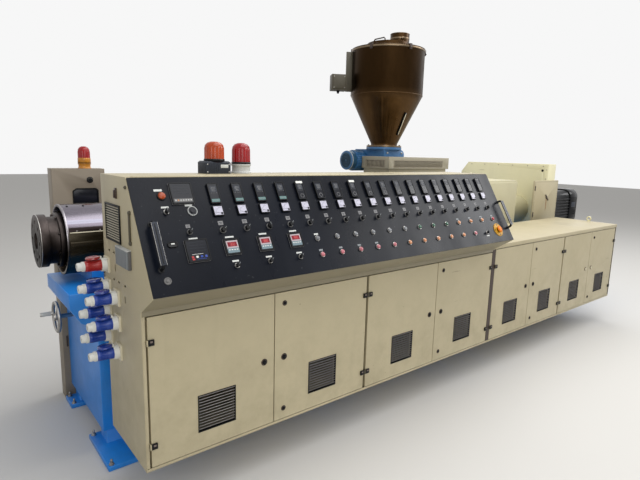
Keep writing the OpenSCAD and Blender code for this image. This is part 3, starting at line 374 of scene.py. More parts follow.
def panel_enamel():
    """Blue-black enamel with smears in its gloss and a few fine scratches."""
    material, tree, shader = new_finish("panel_enamel", 0.3, Specular_IOR_Level=0.13)
    cloud = ramp(tree, noise(tree, 2.2, detail=6.0, roughness=0.6), 0.3, 0.8, 0.0, 0.5)
    body = mix_colour(tree, cloud, tint(8, 11, 19), tint(16, 22, 35))
    dust = ramp(tree, noise(tree, 70.0, detail=3.0), 0.69, 0.73, 0.0, 0.2)
    tree.links.new(mix_colour(tree, dust, body, tint(120, 122, 124)), shader.inputs["Base Color"])
    gloss = ramp(tree, noise(tree, 5.0, detail=6.0, stretch=(1, 0.4, 0.4)), 0.3, 0.75, 0.22, 0.42)
    tree.links.new(gloss, shader.inputs["Roughness"])
    tree.links.new(bump(tree, noise(tree, 160.0), 0.08, 0.0003), shader.inputs["Normal"])
    return material


panel_black = panel_enamel()


# %% [markdown]
# Lit parts, such as lenses and small displays, need to look lit without throwing light around. A
# clear plastic colour with a weak emission of the same hue does that in any light.
# %% Lenses and lit displays


def lens_finish(name, colour, glow, roughness=0.18):
    """Coloured translucent plastic with a weak glow of its own colour."""
    colour = tint(*colour)
    material, tree, shader = new_finish(name, roughness, Emission_Color=colour, Emission_Strength=glow,
                                        Specular_IOR_Level=0.3, Coat_Weight=0.12)
    ribs = noise(tree, 30.0, detail=2.0)
    deeper = tuple(0.7 * part for part in colour[:3]) + (1.0,)
    body = mix_colour(tree, ramp(tree, ribs, 0.3, 0.7), colour, deeper)
    tree.links.new(body, shader.inputs["Base Color"])
    return material


lens_orange = lens_finish("lens_orange", (170, 62, 14), 0.1)
lens_red = lens_finish("lens_red", (148, 12, 16), 0.1)
lens_amber = lens_finish("lens_amber", (186, 124, 44), 0.1)
display_red = lens_finish("display_red", (128, 28, 42), 0.12)
figure_red = lens_finish("figure_red", (206, 92, 92), 0.2)
button_green = lens_finish("button_green", (36, 84, 62), 0.05)
button_orange = lens_finish("button_orange", (194, 132, 90), 0.1)
button_red = lens_finish("button_red", (158, 34, 50), 0.1)
button_pink = lens_finish("button_pink", (180, 104, 112), 0.1)
lamp_orange = lens_finish("lamp_orange", (158, 60, 2), 0.1)
button_clear = lens_finish("button_clear", (118, 120, 124), 0.05)
glass_dark = plastic_finish("dark_glass", (24, 26, 33), 0.2, Specular_IOR_Level=0.22)
bar_metal = metal_finish("handle_bar", (46, 48, 53), (32, 33, 36), 0.4, 0.28)
print("all finishes:", len(bpy.data.materials))

# %% [markdown]
# ## Slots of the finishes
# The imported record names a few material slots. Most finishes always use the same slot, so one
# table holds that. A piece that differs names its own, but publish only looks the slot up and gives it
# to no piece.
# %% The usual slot of each finish
USUAL_SLOTS = {
    "cabinet_paint": (cabinet_paint, shaded_sill_paint, machine_paint, guard_paint, feeder_paint, dusty_paint,
                      olive_paint_and_gap_shade, rust_mark),
    "frame_blue": (frame_blue, drive_blue, motor_teal),
    "polished_steel": (polished_steel, end_steel),
    "bare_steel": (bare_steel,),
    "dark_iron": (dark_iron, brown_iron),
    "hopper_metal": (hopper_bronze, rim_bronze),
    "motor_black": (motor_black,),
    "panel_black": (panel_black,),
    "black_plastic": (black_plastic, glass_dark, rubber_black, bar_metal),
    "instrument_grey": (instrument_grey, dark_grey_plastic, plate_grey, hood_grey, fin_grey, hinge_pink,
                        key_teal, key_blue_grey, button_clear, button_green),
    "white_plastic": (white_plastic, meter_white, pale_grey_plastic, lock_cream, label_paper, display_face),
    "plug_blue": (plug_blue, lid_blue),
    "stop_yellow": (stop_yellow,),
    "lens_orange": (lens_orange, lens_red, lens_amber, lamp_orange, button_orange, button_red, button_pink,
                    display_red, figure_red, stop_red, plug_red, lid_red),
}
SLOT_OF = {finish.name: slot for slot, finishes in USUAL_SLOTS.items() for finish in finishes}
print("finishes with a usual slot:", len(SLOT_OF))

# %% [markdown]
# ## Mesh helpers
# A CAD node arrives as loose triangles. For a piece that stays as it is, a copy is made, its equal
# corners are joined, flat triangles become whole faces again, and the sharp edges get a small
# rounding, because every real folded or cast edge catches a thin line of light. The copy then
# stands for the node, and the node itself stays untouched.
# %% Publish a mesh as a piece of the machine
SOFT_FROM = radians(32)
SMOOTH_UP_TO = radians(38)


def publish(name, mesh, finish, body, soften=0.0, stands_for=None, slot=None):
    """Turns a bmesh into a finished piece: softened edges, smooth shading and a body. Its slot is looked up
    but not given to the piece.
    """
    if soften > 0:
        sharp = [e for e in mesh.edges if len(e.link_faces) == 2 and e.calc_face_angle(0.0) > SOFT_FROM]
        bmesh.ops.bevel(mesh, geom=sharp, offset=soften, segments=2, profile=0.5, affect="EDGES",
                        clamp_overlap=True, offset_type="OFFSET")
    data = bpy.data.meshes.new(name)
    mesh.to_mesh(data)
    mesh.free()
    data.polygons.foreach_set("use_smooth", [True] * len(data.polygons))
    data.set_sharp_from_angle(angle=SMOOTH_UP_TO)
    data.materials.append(finish)
    piece = new_object(name, data)
    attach(piece, body)
    slot or SLOT_OF[finish.name]
    if stands_for:
        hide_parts(stands_for)
    return piece


def merged(node):
    """A bmesh of a CAD node with equal corners joined and flat triangles made whole faces."""
    mesh = bmesh.new()
    mesh.from_mesh(frame["nodes"][node].data)
    for layer in list(mesh.loops.layers.uv):
        mesh.loops.layers.uv.remove(layer)
    bmesh.ops.remove_doubles(mesh, verts=mesh.verts, dist=0.00001)
    bmesh.ops.dissolve_limit(mesh, angle_limit=0.002, verts=mesh.verts, edges=mesh.edges)
    return mesh


def dress(node, finish, soften):
    """A softened copy of a CAD node that stands for it."""
    publish(node + "_shape", merged(node), finish, frame["nodes"][node]["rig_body"], soften, node)


# %% [markdown]
# Small pieces are put together from a few kinds of form: a block between two corners, a turned form,
# a plate, a rod and a hoop. Most are rings of corners with walls between them. All take a matrix
# that says where the piece's own origin is and which way it faces, so an instrument on the sloping
# panel is drawn as if it lay flat on a bench.
# %% Blocks, turned forms, plates, rods and hoops


def placed(mesh, place, points):
    """New corners at the points, carried over by the matrix place."""
    return [mesh.verts.new(place @ Vector(point)) for point in points]


def walls(mesh, low, high):
    """The faces between two rings of corners, either of which may be a single point."""
    count = max(len(low), len(high))
    for k in range(count):
        following = (k + 1) % count
        corners = (low[k % len(low)], low[following % len(low)],
                   high[following % len(high)], high[k % len(high)])
        mesh.faces.new(list(dict.fromkeys(corners)))


def closed_form(mesh, rings):
    """Walls from ring to ring, and a face over each end that isn't a point."""
    for low, high in zip(rings, rings[1:]):
        walls(mesh, low, high)
    if len(rings[0]) > 1:
        mesh.faces.new(list(reversed(rings[0])))
    if len(rings[-1]) > 1:
        mesh.faces.new(rings[-1])


def block(mesh, place, x, y, z):
    """A box between the pairs x, y and z, in the frame of the matrix place."""
    corners = placed(mesh, place, [(a, b, c) for c in z for b in y for a in x])
    for side in ((0, 2, 3, 1), (4, 5, 7, 6), (0, 1, 5, 4), (2, 6, 7, 3), (0, 4, 6, 2), (1, 3, 7, 5)):
        mesh.faces.new([corners[k] for k in side])


def turned(mesh, place, outline, sides=24):
    """An outline of (radius, height) points spun about the local Z axis, closed at both ends."""
    angles = [tau * k / sides for k in range(sides)]
    closed_form(mesh, [placed(mesh, place, [(radius * cos(a), radius * sin(a), height)
                                            for a in (angles if radius else (0,))])
                       for radius, height in outline])


def loft(mesh, place, rings):
    """A closed form through rings of equally many points, each given as (points, height)."""
    closed_form(mesh, [placed(mesh, place, [(x, y, z) for x, y in points]) for points, z in rings])


def prism(mesh, place, points, z):
    """A plate with the outline points in its own X-Y plane, from z[0] to z[1]."""
    loft(mesh, place, [(points, z[0]), (points, z[1])])


def sweep(mesh, points, radius, sides=10):
    """A round rod along a list of points, with closed ends."""
    rings = []
    side = None
    for k, point in enumerate(points):
        ahead = points[min(k + 1, len(points) - 1)] - points[max(k - 1, 0)]
        ahead.normalize()
        if side is None:
            side = ahead.orthogonal().normalized()
        side = (side - ahead * side.dot(ahead)).normalized()
        other = ahead.cross(side)
        rings.append([mesh.verts.new(point + radius * (side * cos(a) + other * sin(a)))
                      for a in [tau * j / sides for j in range(sides)]])
    closed_form(mesh, rings)


def hoop(mesh, place, profile, sides=40):
    """A closed profile of (radius, height) points carried round the local Z axis."""
    rings = [placed(mesh, place, [(radius * cos(a), radius * sin(a), height)
                                  for radius, height in profile])
             for a in [tau * k / sides for k in range(sides)]]
    for here, there in zip(rings, rings[1:] + rings[:1]):
        walls(mesh, there, here)


def band(inner, outer, low, high):
    """The square profile of a hoop between two radii and two heights."""
    return [(inner, low), (outer, low), (outer, high), (inner, high)]


# %% [markdown]
# Fasteners, frames and places come next. A place is a matrix: one helper builds it from two
# directions, one moves it along its own axes, and one turns it in even steps, as spokes are.
# %% Fasteners, frames and places
CORNERS = ((1, 1), (1, -1), (-1, 1), (-1, -1))


def across(width):
    """The pair from minus half to plus half of a width."""
    return -width / 2, width / 2


def facing(origin, x_axis, y_axis):
    """A matrix with that origin whose local X and Y run along the two axes."""
    x_axis = Vector(x_axis).normalized()
    y_axis = Vector(y_axis).normalized()
    turn = Matrix((x_axis, y_axis, x_axis.cross(y_axis))).transposed().to_4x4()
    return Matrix.Translation(Vector(origin)) @ turn


def at(x, y, z):
    """A frame at a point, with the axes of the scene."""
    return Matrix.Translation((x, y, z))


def shifted(place, x, y, z=0.0):
    """The same matrix moved along its own axes."""
    return place @ Matrix.Translation((x, y, z))


def spun(place, angle, axis="Z"):
    """The same matrix turned about one of its own axes."""
    return place @ Matrix.Rotation(angle, 4, axis)


def spokes(place, count, start=0):
    """The same matrix turned about its Z axis in that many even steps."""
    return [spun(place, tau * (k + start) / count) for k in range(count)]


def bolt(mesh, place, radius, height):
    """A hexagon head on its washer."""
    turned(mesh, place, [(radius * 1.25, -0.0003), (radius * 1.25, height * 0.2), (0, height * 0.2)], 16)
    turned(mesh, place, [(radius, height * 0.15), (radius, height * 0.9), (radius * 0.85, height),
                         (0, height)], 6)


def screw(mesh, place, radius, height):
    """A low domed screw head."""
    turned(mesh, place, [(radius, -0.0003), (radius * 0.92, height * 0.6), (radius * 0.5, height),
                         (0, height)], 12)


def corner_screws(mesh, place, x, y, z, radius, height):
    """Four screws at the corners of a rectangle."""
    for sx, sy in CORNERS:
        screw(mesh, shifted(place, sx * x, sy * y, z), radius, height)


def frame_bars(u, v, rim):
    """The four bars (u pair, v pair) of a rectangular frame of that rim."""
    return (((u[0], u[0] + rim), v), ((u[1] - rim, u[1]), v),
            ((u[0] + rim, u[1] - rim), (v[0], v[0] + rim)),
            ((u[0] + rim, u[1] - rim), (v[1] - rim, v[1])))


def rim_of(mesh, place, u, v, rim, z):
    """A rectangular frame drawn as four blocks."""
    for bar_u, bar_v in frame_bars(u, v, rim):
        block(mesh, place, bar_u, bar_v, z)


# %% [markdown]
# Many details sit on solids that are one of several in a node, such as the eighteen controllers.
# Their places are read from the node: its triangles fall into loose parts, and each part's box is
# where one instrument is. Other places are the box of those corners that pass a test.
# %% Boxes read from a node


def box_of(points):
    """The (low, high) box of some points."""
    return tuple(Vector([pick(p[k] for p in points) for k in range(3)]) for pick in (min, max))


def middle(box):
    """The middle of a (low, high) box."""
    return (box[0] + box[1]) / 2


def parts_of(mesh, place=Matrix()):
    """Boxes (low, high) of the mesh's loose parts, measured in the frame of the matrix place."""
    inverse = place.inverted()
    seen = set()
    boxes = []
    for start in mesh.verts:
        if start in seen:
            continue
        stack = [start]
        seen.add(start)
        found = []
        while stack:
            vertex = stack.pop()
            found.append(inverse @ vertex.co)
            for edge in vertex.link_edges:
                other = edge.other_vert(vertex)
                if other not in seen:
                    seen.add(other)
                    stack.append(other)
        boxes.append(box_of(found))
    return sorted(boxes, key=lambda box: (round(box[0].x, 4), round(box[0].z, 4)))


def node_parts(node, place=Matrix()):
    """The boxes of a CAD node's loose parts."""
    mesh = merged(node)
    boxes = parts_of(mesh, place)
    mesh.free()
    return boxes


def node_corners(node, keep=lambda corner: True):
    """The corners of a CAD node that pass the test keep."""
    mesh = merged(node)
    corners = [v.co.copy() for v in mesh.verts if keep(v.co)]
    mesh.free()
    return corners


def end_box(node, axis):
    """The box of the corners at a node's low end along that axis."""
    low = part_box(node)[0][axis]
    return box_of(node_corners(node, lambda p: p[axis] < low + 0.001))


door_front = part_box("cabinet_floors")[0].y
print("doors lie in the plane y =", round(door_front, 4))

# %% [markdown]
# ## Details by layers
# A group of details has several finishes: a dark housing, a glass face, pale print. One mesh holds
# one finish, so a group is drawn into layers, one mesh for each finish, and the layers are published
# together. The first layer of a group may stand for the group's CAD node.
# %% Layers


class Layers:
    """A bmesh for each finish of a group of details, published together."""

    def __init__(self, body):
        self.body = body
        self.meshes = {}

    def __getitem__(self, layer):
        return self.meshes.setdefault(layer, bmesh.new())

    def publish(self, prefix, soften=0.0004, stands_for=None, **finishes):
        """Each layer is given as its finish, or as (finish, slot) where the slot isn't the usual one."""
        for layer, mesh in self.meshes.items():
            given = finishes[layer]
            finish, slot = given if isinstance(given, tuple) else (given, None)
            bmesh.ops.recalc_face_normals(mesh, faces=mesh.faces)
            publish(f"{prefix}_{layer}", mesh, finish, self.body, soften, stands_for, slot)
            stands_for = None
        print(prefix, "layers:", list(self.meshes))


# %% [markdown]
# ## Rows of copies
# Vent fins, louvre slats, grille bars and screws along an edge are one small shape repeated at an
# even step. Geometry Nodes do this well: the shape comes in, a line of points carries copies of it,
# the copies are made real, and a finish is set. The same tree serves every row on the machine.
# %% The tree that repeats a shape along a line


def build_row_tree():
    """A node tree with the inputs Count, Step and Finish that repeats what it is given."""
    tree = bpy.data.node_groups.new("row_of_copies", "GeometryNodeTree")
    sockets = {}
    for name, kind in (("Shape", "NodeSocketGeometry"), ("Count", "NodeSocketInt"),
                       ("Step", "NodeSocketVector"), ("Finish", "NodeSocketMaterial")):
        sockets[name] = tree.interface.new_socket(name, in_out="INPUT", socket_type=kind).identifier
    tree.interface.new_socket("Row", in_out="OUTPUT", socket_type="NodeSocketGeometry")
    given = tree.nodes.new("NodeGroupInput")
    line = tree.nodes.new("GeometryNodeMeshLine")
    copies = tree.nodes.new("GeometryNodeInstanceOnPoints")
    real = tree.nodes.new("GeometryNodeRealizeInstances")
    coat = tree.nodes.new("GeometryNodeSetMaterial")
    result = tree.nodes.new("NodeGroupOutput")
    for giver, out_name, taker, in_name in (
            (given, "Count", line, "Count"), (given, "Step", line, "Offset"),
            (line, "Mesh", copies, "Points"), (given, "Shape", copies, "Instance"),
            (copies, "Instances", real, "Geometry"), (real, "Geometry", coat, "Geometry"),
            (given, "Finish", coat, "Material"), (coat, "Geometry", result, "Row")):
        tree.links.new(giver.outputs[out_name], taker.inputs[in_name])
    return tree, sockets


row_tree, row_sockets = build_row_tree()


def add_row(mesh, count, step, finish, draw, *shape):
    """Adds count copies of one drawn shape to mesh, each one step further than the last."""
    first = bmesh.new()
    draw(first, *shape)
    data = bpy.data.meshes.new("row_shape")
    first.to_mesh(data)
    first.free()
    holder = new_object("row_holder", data)
    modifier = holder.modifiers.new("row", "NODES")
    modifier.node_group = row_tree
    modifier[row_sockets["Count"]] = count
    modifier[row_sockets["Step"]] = tuple(step)
    modifier[row_sockets["Finish"]] = finish
    bpy.context.view_layer.update()
    evaluated = holder.evaluated_get(bpy.context.evaluated_depsgraph_get())
    grown = bpy.data.meshes.new_from_object(evaluated)
    mesh.from_mesh(grown)
    bpy.data.objects.remove(holder)
    bpy.data.meshes.remove(grown)
    bpy.data.meshes.remove(data)


print("inputs of the row tree:", sorted(row_sockets))

# %% [markdown]
# ## The cabinets' sheet metal
# Side walls, floors, backs, roof, sill and lid are plain folded sheets whose form the CAD already
# has. They keep that form as softened copies in cabinet paint, and the sill in a darker copy of it
# that paints the sill's shade. The folds' radius is about 1 mm.
# The posts that show only through the gaps between doors are in dark olive paint, which paints the shade in
# those gaps.
# %% Dress the cabinet sheets
SHEET_FOLD = 0.0010
for node in ("cabinet_left_side", "cabinet_right_side", "drive_cabinet_sides", "cabinet_floors",
             "cabinet_backs", "console_roof", "console_sill", "drive_cabinet_lid"):
    # The console sill gets its darker paint, which is painted shade.
    dress(node, shaded_sill_paint if node == "console_sill" else cabinet_paint, SHEET_FOLD)
near_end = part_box("door_posts")[0].x + 0.1
# The inner posts show only through the door gaps; their dark olive paints the shade there.
for name, paint in (("end_post", cabinet_paint), ("inner_posts", olive_paint_and_gap_shade)):
    mesh = merged("door_posts")
    rest = [v for v in mesh.verts if (v.co.x > near_end) == (name == "end_post")]
    bmesh.ops.delete(mesh, geom=rest, context="VERTS")
    publish(name, mesh, paint, "machine", SHEET_FOLD, "door_posts")
print("cabinet sheets dressed, end post up to x =", round(near_end, 3))

# %% [markdown]
# ## Doors
# A door is one folded pan with a vent cut through it. It is made the way a sheet-metal worker makes
# it: first the flat face with its opening, then the flanges folded back from every edge, and only
# then the thickness, with a Solidify modifier that grows inwards. A Bevel modifier rolls the folds,
# which gives each door the light line along its edges. Sizes come from the CAD door.
# %% Read a door's pan, vent and fittings from the frame
PAN_SHEET = 0.002
PAN_FOLD = 0.0025
VENT_LIP = 0.003
VENT_DEPTH = 0.0155
FITTING_OUT = 0.004


def read_door(node):
    """The pan's box, the vent's box, and the boxes of what stands out of the door's face."""
    points = node_corners(node)
    pan = box_of([p for p in points if p.y > door_front + 0.0195])
    vent = box_of([p for p in points if abs(p.y - door_front - VENT_DEPTH) < 0.0005])
    mesh = merged(node)
    behind = [v for v in mesh.verts if v.co.y > door_front - FITTING_OUT]
    bmesh.ops.delete(mesh, geom=behind, context="VERTS")
    fittings = parts_of(mesh)
    mesh.free()
    return pan, vent, fittings


def pan_mesh(pan, vent):
    """The face with its vent opening, and flanges folded back from all its edges."""
    mesh = bmesh.new()
    columns = (pan[0].x, vent[0].x + VENT_LIP, vent[1].x - VENT_LIP, pan[1].x)
    rows = (pan[0].z, vent[0].z + VENT_LIP, vent[1].z - VENT_LIP, pan[1].z)
    grid = [[mesh.verts.new((x, door_front, z)) for x in columns] for z in rows]
    for r in range(3):
        for c in range(3):
            if (r, c) != (1, 1):
                mesh.faces.new((grid[r][c], grid[r][c + 1], grid[r + 1][c + 1], grid[r + 1][c]))
    rim = [e for e in mesh.edges if len(e.link_faces) == 1]
    grown = bmesh.ops.extrude_edge_only(mesh, edges=rim)["geom"]
    bmesh.ops.translate(mesh, verts=[g for g in grown if isinstance(g, bmesh.types.BMVert)],
                        vec=(0, pan[1].y - door_front, 0))
    bmesh.ops.recalc_face_normals(mesh, faces=mesh.faces)
    face = min(mesh.faces, key=lambda f: f.calc_center_median().y)
    if face.normal.y > 0:
        bmesh.ops.reverse_faces(mesh, faces=mesh.faces)
    return mesh


# %% [markdown]
# Each door also carries its fittings: two black hinge blocks with a small pinkish insert, a winged
# lock at mid height and, on the doors that close last, a key lock above and below. Each lock sits in
# a dark ring wider than itself, which also paints the shade round it. On the last two doors the middle
# locks have pale covers. The vent is a dark frame, slightly proud of the door's face, whose black paints
# the shade round the opening, with twelve grey fins whose lower edges lean out to the operator.
# %% Make the doors
FIN_COUNT = 12
FIN_LEAN = radians(-38)
VENT_RIM = 0.004
HINGE_SIDE = 0.0235
MID_LOCK = 0.05
COVERED_FROM = 7


def vent_shapes(details, low, high):
    """The dark frame round a vent, which paints the shade at the opening's edges, and its row of leaning
    fins.
    """
    flat = facing((0, door_front, 0), (1, 0, 0), (0, 0, 1))
    # The vent's dark frame paints the shade round the opening.
    rim_of(details["vent_frame"], flat, (low.x, high.x), (low.z, high.z), VENT_RIM, (-0.012, 0.0015))
    pitch = (high.z - low.z - 2 * VENT_RIM) / FIN_COUNT
    lean = spun(at(0, door_front + 0.006, low.z + VENT_RIM + pitch / 2), FIN_LEAN, "X")
    add_row(details["vent_fins"], FIN_COUNT, (0, 0, pitch), fin_grey, block, lean,
            (low.x + VENT_LIP, high.x - VENT_LIP), across(0.015), across(0.0016))


def lock_shapes(rings, knobs, box, winged):
    """A lock's dark ring, wider than the lock so that it also paints the shade round it, and its dark knob,
    winged or with a key slot.
    """
    radius = (box[1].x - box[0].x) / 2
    place = facing((middle(box).x, door_front, middle(box).z), (1, 0, 0), (0, 0, 1))
    # The ring reaches 6 mm past the lock: partly a real ring, partly painted shade.
    turned(rings, place, [(radius + 0.006, -0.001), (radius + 0.006, 0.0015), (radius + 0.005, 0.0022),
                          (radius + 0.0005, 0.0022), (radius + 0.0005, -0.001)])
    turned(knobs, place, [(radius, -0.001), (radius, 0.0045), (radius - 0.0012, 0.006), (0, 0.006)])
    if winged:
        block(knobs, place, across(radius * 0.56), (-radius, radius), (0.004, 0.008))
    else:
        block(knobs, place, across(0.0024), across(radius * 1.1), (0.005, 0.0072))


for number in range(1, 9):
    node = f"door_{number}"
    body = frame["nodes"][node]["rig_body"]
    pan, vent, fittings = read_door(node)
    shell = publish(node + "_pan", pan_mesh(pan, vent), cabinet_paint, body, stands_for=node)
    thick = shell.modifiers.new("sheet", "SOLIDIFY")
    thick.thickness = PAN_SHEET
    thick.offset = -1
    rolled = shell.modifiers.new("fold", "BEVEL")
    rolled.width = PAN_FOLD
    rolled.segments = 3
    rolled.limit_method = "ANGLE"
    details = Layers(body)
    vent_shapes(details, *vent)
    for low, high in fittings:
        centre = middle((low, high))
        if high.x - low.x > HINGE_SIDE:
            block(details["hinge_blocks"], Matrix(), (low.x, high.x), (low.y, door_front), (low.z, high.z))
            block(details["hinge_squares"], Matrix(), (centre.x - 0.005, centre.x + 0.006),
                  (low.y - 0.0002, low.y + 0.002), (centre.z, centre.z + 0.008))
        else:
            winged = abs(centre.z - middle(pan).z) < MID_LOCK
            layer = "lock_covers" if winged and number >= COVERED_FROM else "lock_knobs"
            lock_shapes(details["lock_rings"], details[layer], (low, high), winged)
    details.publish(
        node, vent_frame=black_plastic, vent_fins=fin_grey, hinge_blocks=black_plastic,
        hinge_squares=hinge_pink, lock_rings=(brown_iron, "bare_steel"), lock_knobs=black_plastic,
        lock_covers=lock_cream)

# %% [markdown]
# The two cabinets stand side by side, and a dark strip, which paints the shade in the gap, fills the
# gap between the fourth and the fifth door. It lies flush with the sheets behind it, so that both doors swing
# past it.
# %% The painted shade strip between the cabinets
SHADE_STRIP_MARGIN = 0.003
left_door, right_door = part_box("door_4"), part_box("door_5")
# A dark strip in the gap between the cabinets: painted shade.
gap_shade_strip = bmesh.new()
block(gap_shade_strip, Matrix(), (left_door[1].x + SHADE_STRIP_MARGIN, right_door[0].x - SHADE_STRIP_MARGIN),
      (door_front - 0.0003, door_front + 0.004), (right_door[0].z, right_door[1].z))
publish("cabinet_seal", gap_shade_strip, brown_iron, "machine", 0.0002, slot="black_plastic")
print("seal width:", round(right_door[0].x - left_door[1].x - 2 * SHADE_STRIP_MARGIN, 4))

# %% [markdown]
# ## The operating panel's own frame
# Everything on the sloping panel is drawn as if it lay flat. The slope's frame is found from the
# CAD panel's corners: X runs along the console, Y up the slope and Z straight out of the enamel.
# %% Find the slope
panel_points = node_corners("console_panel")
panel_box = box_of(panel_points)
panel_side = [p for p in panel_points if p.x < panel_box[0].x + 0.001]
lower_outer = min(panel_side, key=lambda p: p.y)
upper_outer = max(panel_side, key=lambda p: p.z)
lower_inner = min(panel_side, key=lambda p: p.z)
slope = facing(lower_outer, (1, 0, 0), upper_outer - lower_outer)
panel_long = panel_box[1].x - panel_box[0].x
panel_high = (upper_outer - lower_outer).length
panel_thick = (lower_outer - lower_inner).length
print("panel length, height, thickness:", [round(x, 3) for x in (panel_long, panel_high, panel_thick)])


def on_slope(box):
    """A frame in the middle of a box that was measured on the slope, on the panel's surface."""
    return shifted(slope, middle(box).x, middle(box).y)


# %% [markdown]
# The panel itself is a thick sheet with rounded corners. Its softened edge catches the lamps, which
# draws the thin light outline that the real panel has.
# %% The black panel


def rounded(width, height, radius, steps=6):
    """Corner-rounded rectangle points, counter-clockwise, centred on the origin."""
    points = []
    for corner, (sx, sy) in enumerate(((1, 1), (-1, 1), (-1, -1), (1, -1))):
        for k in range(steps + 1):
            angle = pi / 2 * (corner + k / steps)
            points.append((sx * (width / 2 - radius) + radius * cos(angle),
                           sy * (height / 2 - radius) + radius * sin(angle)))
    return points


plate = bmesh.new()
plate_middle = shifted(slope, panel_long / 2, panel_high / 2)
prism(plate, plate_middle, rounded(panel_long, panel_high, 0.004), (-panel_thick, 0))
publish("panel_plate", plate, panel_black, "operating_panel", 0.0009, "console_panel")

# %% [markdown]
# ## Housings and marks
# Instruments share two forms: a housing whose face is set back inside its rim, and thin flat marks.
# Plain numbers are drawn from seven bars, as displays do.
# %% Bezels, marks and numbers
SEGMENTS = {"0": "abcdef", "1": "bc", "2": "abdeg", "3": "abcdg", "4": "bcfg", "5": "acdfg",
            "6": "acdefg", "7": "abc", "8": "abcdefg", "9": "abcdfg"}
SEGMENT_PLACES = {"a": (0, 2), "g": (0, 0), "d": (0, -2), "b": (1, 1), "c": (1, -1), "f": (-1, 1),
                  "e": (-1, -1)}


def bezel(mesh, place, width, height, rim, depth, recess):
    """A rounded housing whose face is set back inside its rim."""
    outer = rounded(width, height, 0.003, 3)
    inner = rounded(width - 2 * rim, height - 2 * rim, 0.0012, 3)
    loft(mesh, place, [(outer, -0.0005), (outer, depth), (inner, depth), (inner, depth - recess)])


def tag(mesh, place, x, y, width, height, raise_by=0.0006):
    """A thin flat mark centred at (x, y) on the surface of the matrix place."""
    block(mesh, shifted(place, x, y), across(width), across(height), (-0.0002, raise_by))


def digits(mesh, place, text, y, height):
    """Plain seven-segment numbers centred at (0, y)."""
    width = height * 0.5
    bar = height * 0.12
    for k, figure in enumerate(text):
        x = width * 1.45 * (k - (len(text) - 1) / 2)
        for segment in SEGMENTS[figure]:
            sx, sy = SEGMENT_PLACES[segment]
            size = (bar, height / 2) if sx else (width, bar)
            tag(mesh, place, x + sx * width / 2, y + sy * height / 4, *size, 0.0003)


# %% [markdown]
# ## Temperature controllers
# Eighteen upright controllers stand in a row near the top edge, one for each heating zone. The
# first four have a green-blue key strip at the foot, the others a small ring of pale key marks.
# Two have a scrap of white tape on top.
# %% Controllers along the top of the panel
STRIP_CONTROLLERS = 4
TAPED = (4, 7)
FACE_RECESS = 0.002
controllers = Layers("operating_panel")
for k, box in enumerate(node_parts("temperature_controllers", slope)):
    width, height = box[1].x - box[0].x, box[1].y - box[0].y
    spot = on_slope(box)
    bezel(controllers["housings"], spot, width, height, 0.0035, box[1].z, FACE_RECESS)
    face = shifted(spot, 0, 0, box[1].z - FACE_RECESS)
    tag(controllers["faces"], face, 0, 0, width - 0.008, height - 0.008, 0.0004)
    tag(controllers["windows"], face, 0, height * 0.2, width * 0.66, height * 0.3, 0.0009)
    for text, y, tall in (("204", 0.25, 0.1), ("205", 0.13, 0.08)):
        digits(controllers["numbers"], shifted(face, 0, 0, 0.0009), text, height * y, height * tall)
    if k < STRIP_CONTROLLERS:
        tag(controllers["strips"], face, 0, -height * 0.36, width * 0.78, height * 0.14, 0.0009)
    marks = controllers["marks"]
    if k < STRIP_CONTROLLERS:
        for j in range(4):
            tag(marks, face, (j - 1.5) * width * 0.17, -height * 0.36, width * 0.09, height * 0.045, 0.0014)
    else:
        for j in range(8):
            angle = tau * j / 8
            tag(marks, face, width * 0.2 * cos(angle), -height * 0.3 + width * 0.2 * sin(angle),
                0.0035, 0.0035, 0.0010)
    for j in (-1, 0, 1):
        tag(marks, face, j * width * 0.24, height * 0.01, width * 0.12, 0.0012, 0.0008)
    if k in TAPED:
        tag(controllers["tapes"], shifted(spot, 0, 0, box[1].z), 0.002, height * 0.45, width * 0.8, 0.012,
            0.0012)
controllers.publish(
    "controller", 0.0, "temperature_controllers", housings=(black_plastic, "instrument_grey"),
    faces=glass_dark, windows=dark_grey_plastic, numbers=plate_grey, strips=key_teal, marks=plate_grey,
    tapes=white_plastic)

# %% [markdown]
# ## Ammeters
# Under each controller a square meter shows the heater's current. Its white face has a quarter
# scale, a needle at rest and a dark foot, inside a low black frame.
# %% Ammeters
SCALE_TICKS = 9
NEEDLE_REST = radians(168)
ammeters = Layers("operating_panel")
for box in node_parts("ammeters", slope):
    side, depth = box[1].x - box[0].x, box[1].z
    spot = on_slope(box)
    bezel(ammeters["frames"], spot, side, side, 0.0032, depth, 0.0015)
    face = shifted(spot, 0, 0, depth - 0.0015)
    tag(ammeters["faces"], face, 0, 0, side - 0.008, side - 0.008)
    pivot = shifted(face, side * 0.28, -side * 0.28)
    scales = ammeters["scales"]
    for j in range(SCALE_TICKS):
        tick = spun(pivot, pi / 2 * (1 + j / (SCALE_TICKS - 1)))
        block(scales, tick, (side * 0.55, side * 0.63), across(0.001), (0, 0.0008))
    block(scales, spun(pivot, NEEDLE_REST), (0, side * 0.6), across(0.0008), (0, 0.0012))
    turned(scales, pivot, [(0.0052, 0), (0.0052, 0.0016), (0, 0.0016)], 12)
ammeters.publish("ammeter", 0.0, "ammeters", frames=black_plastic, faces=meter_white, scales=black_plastic)

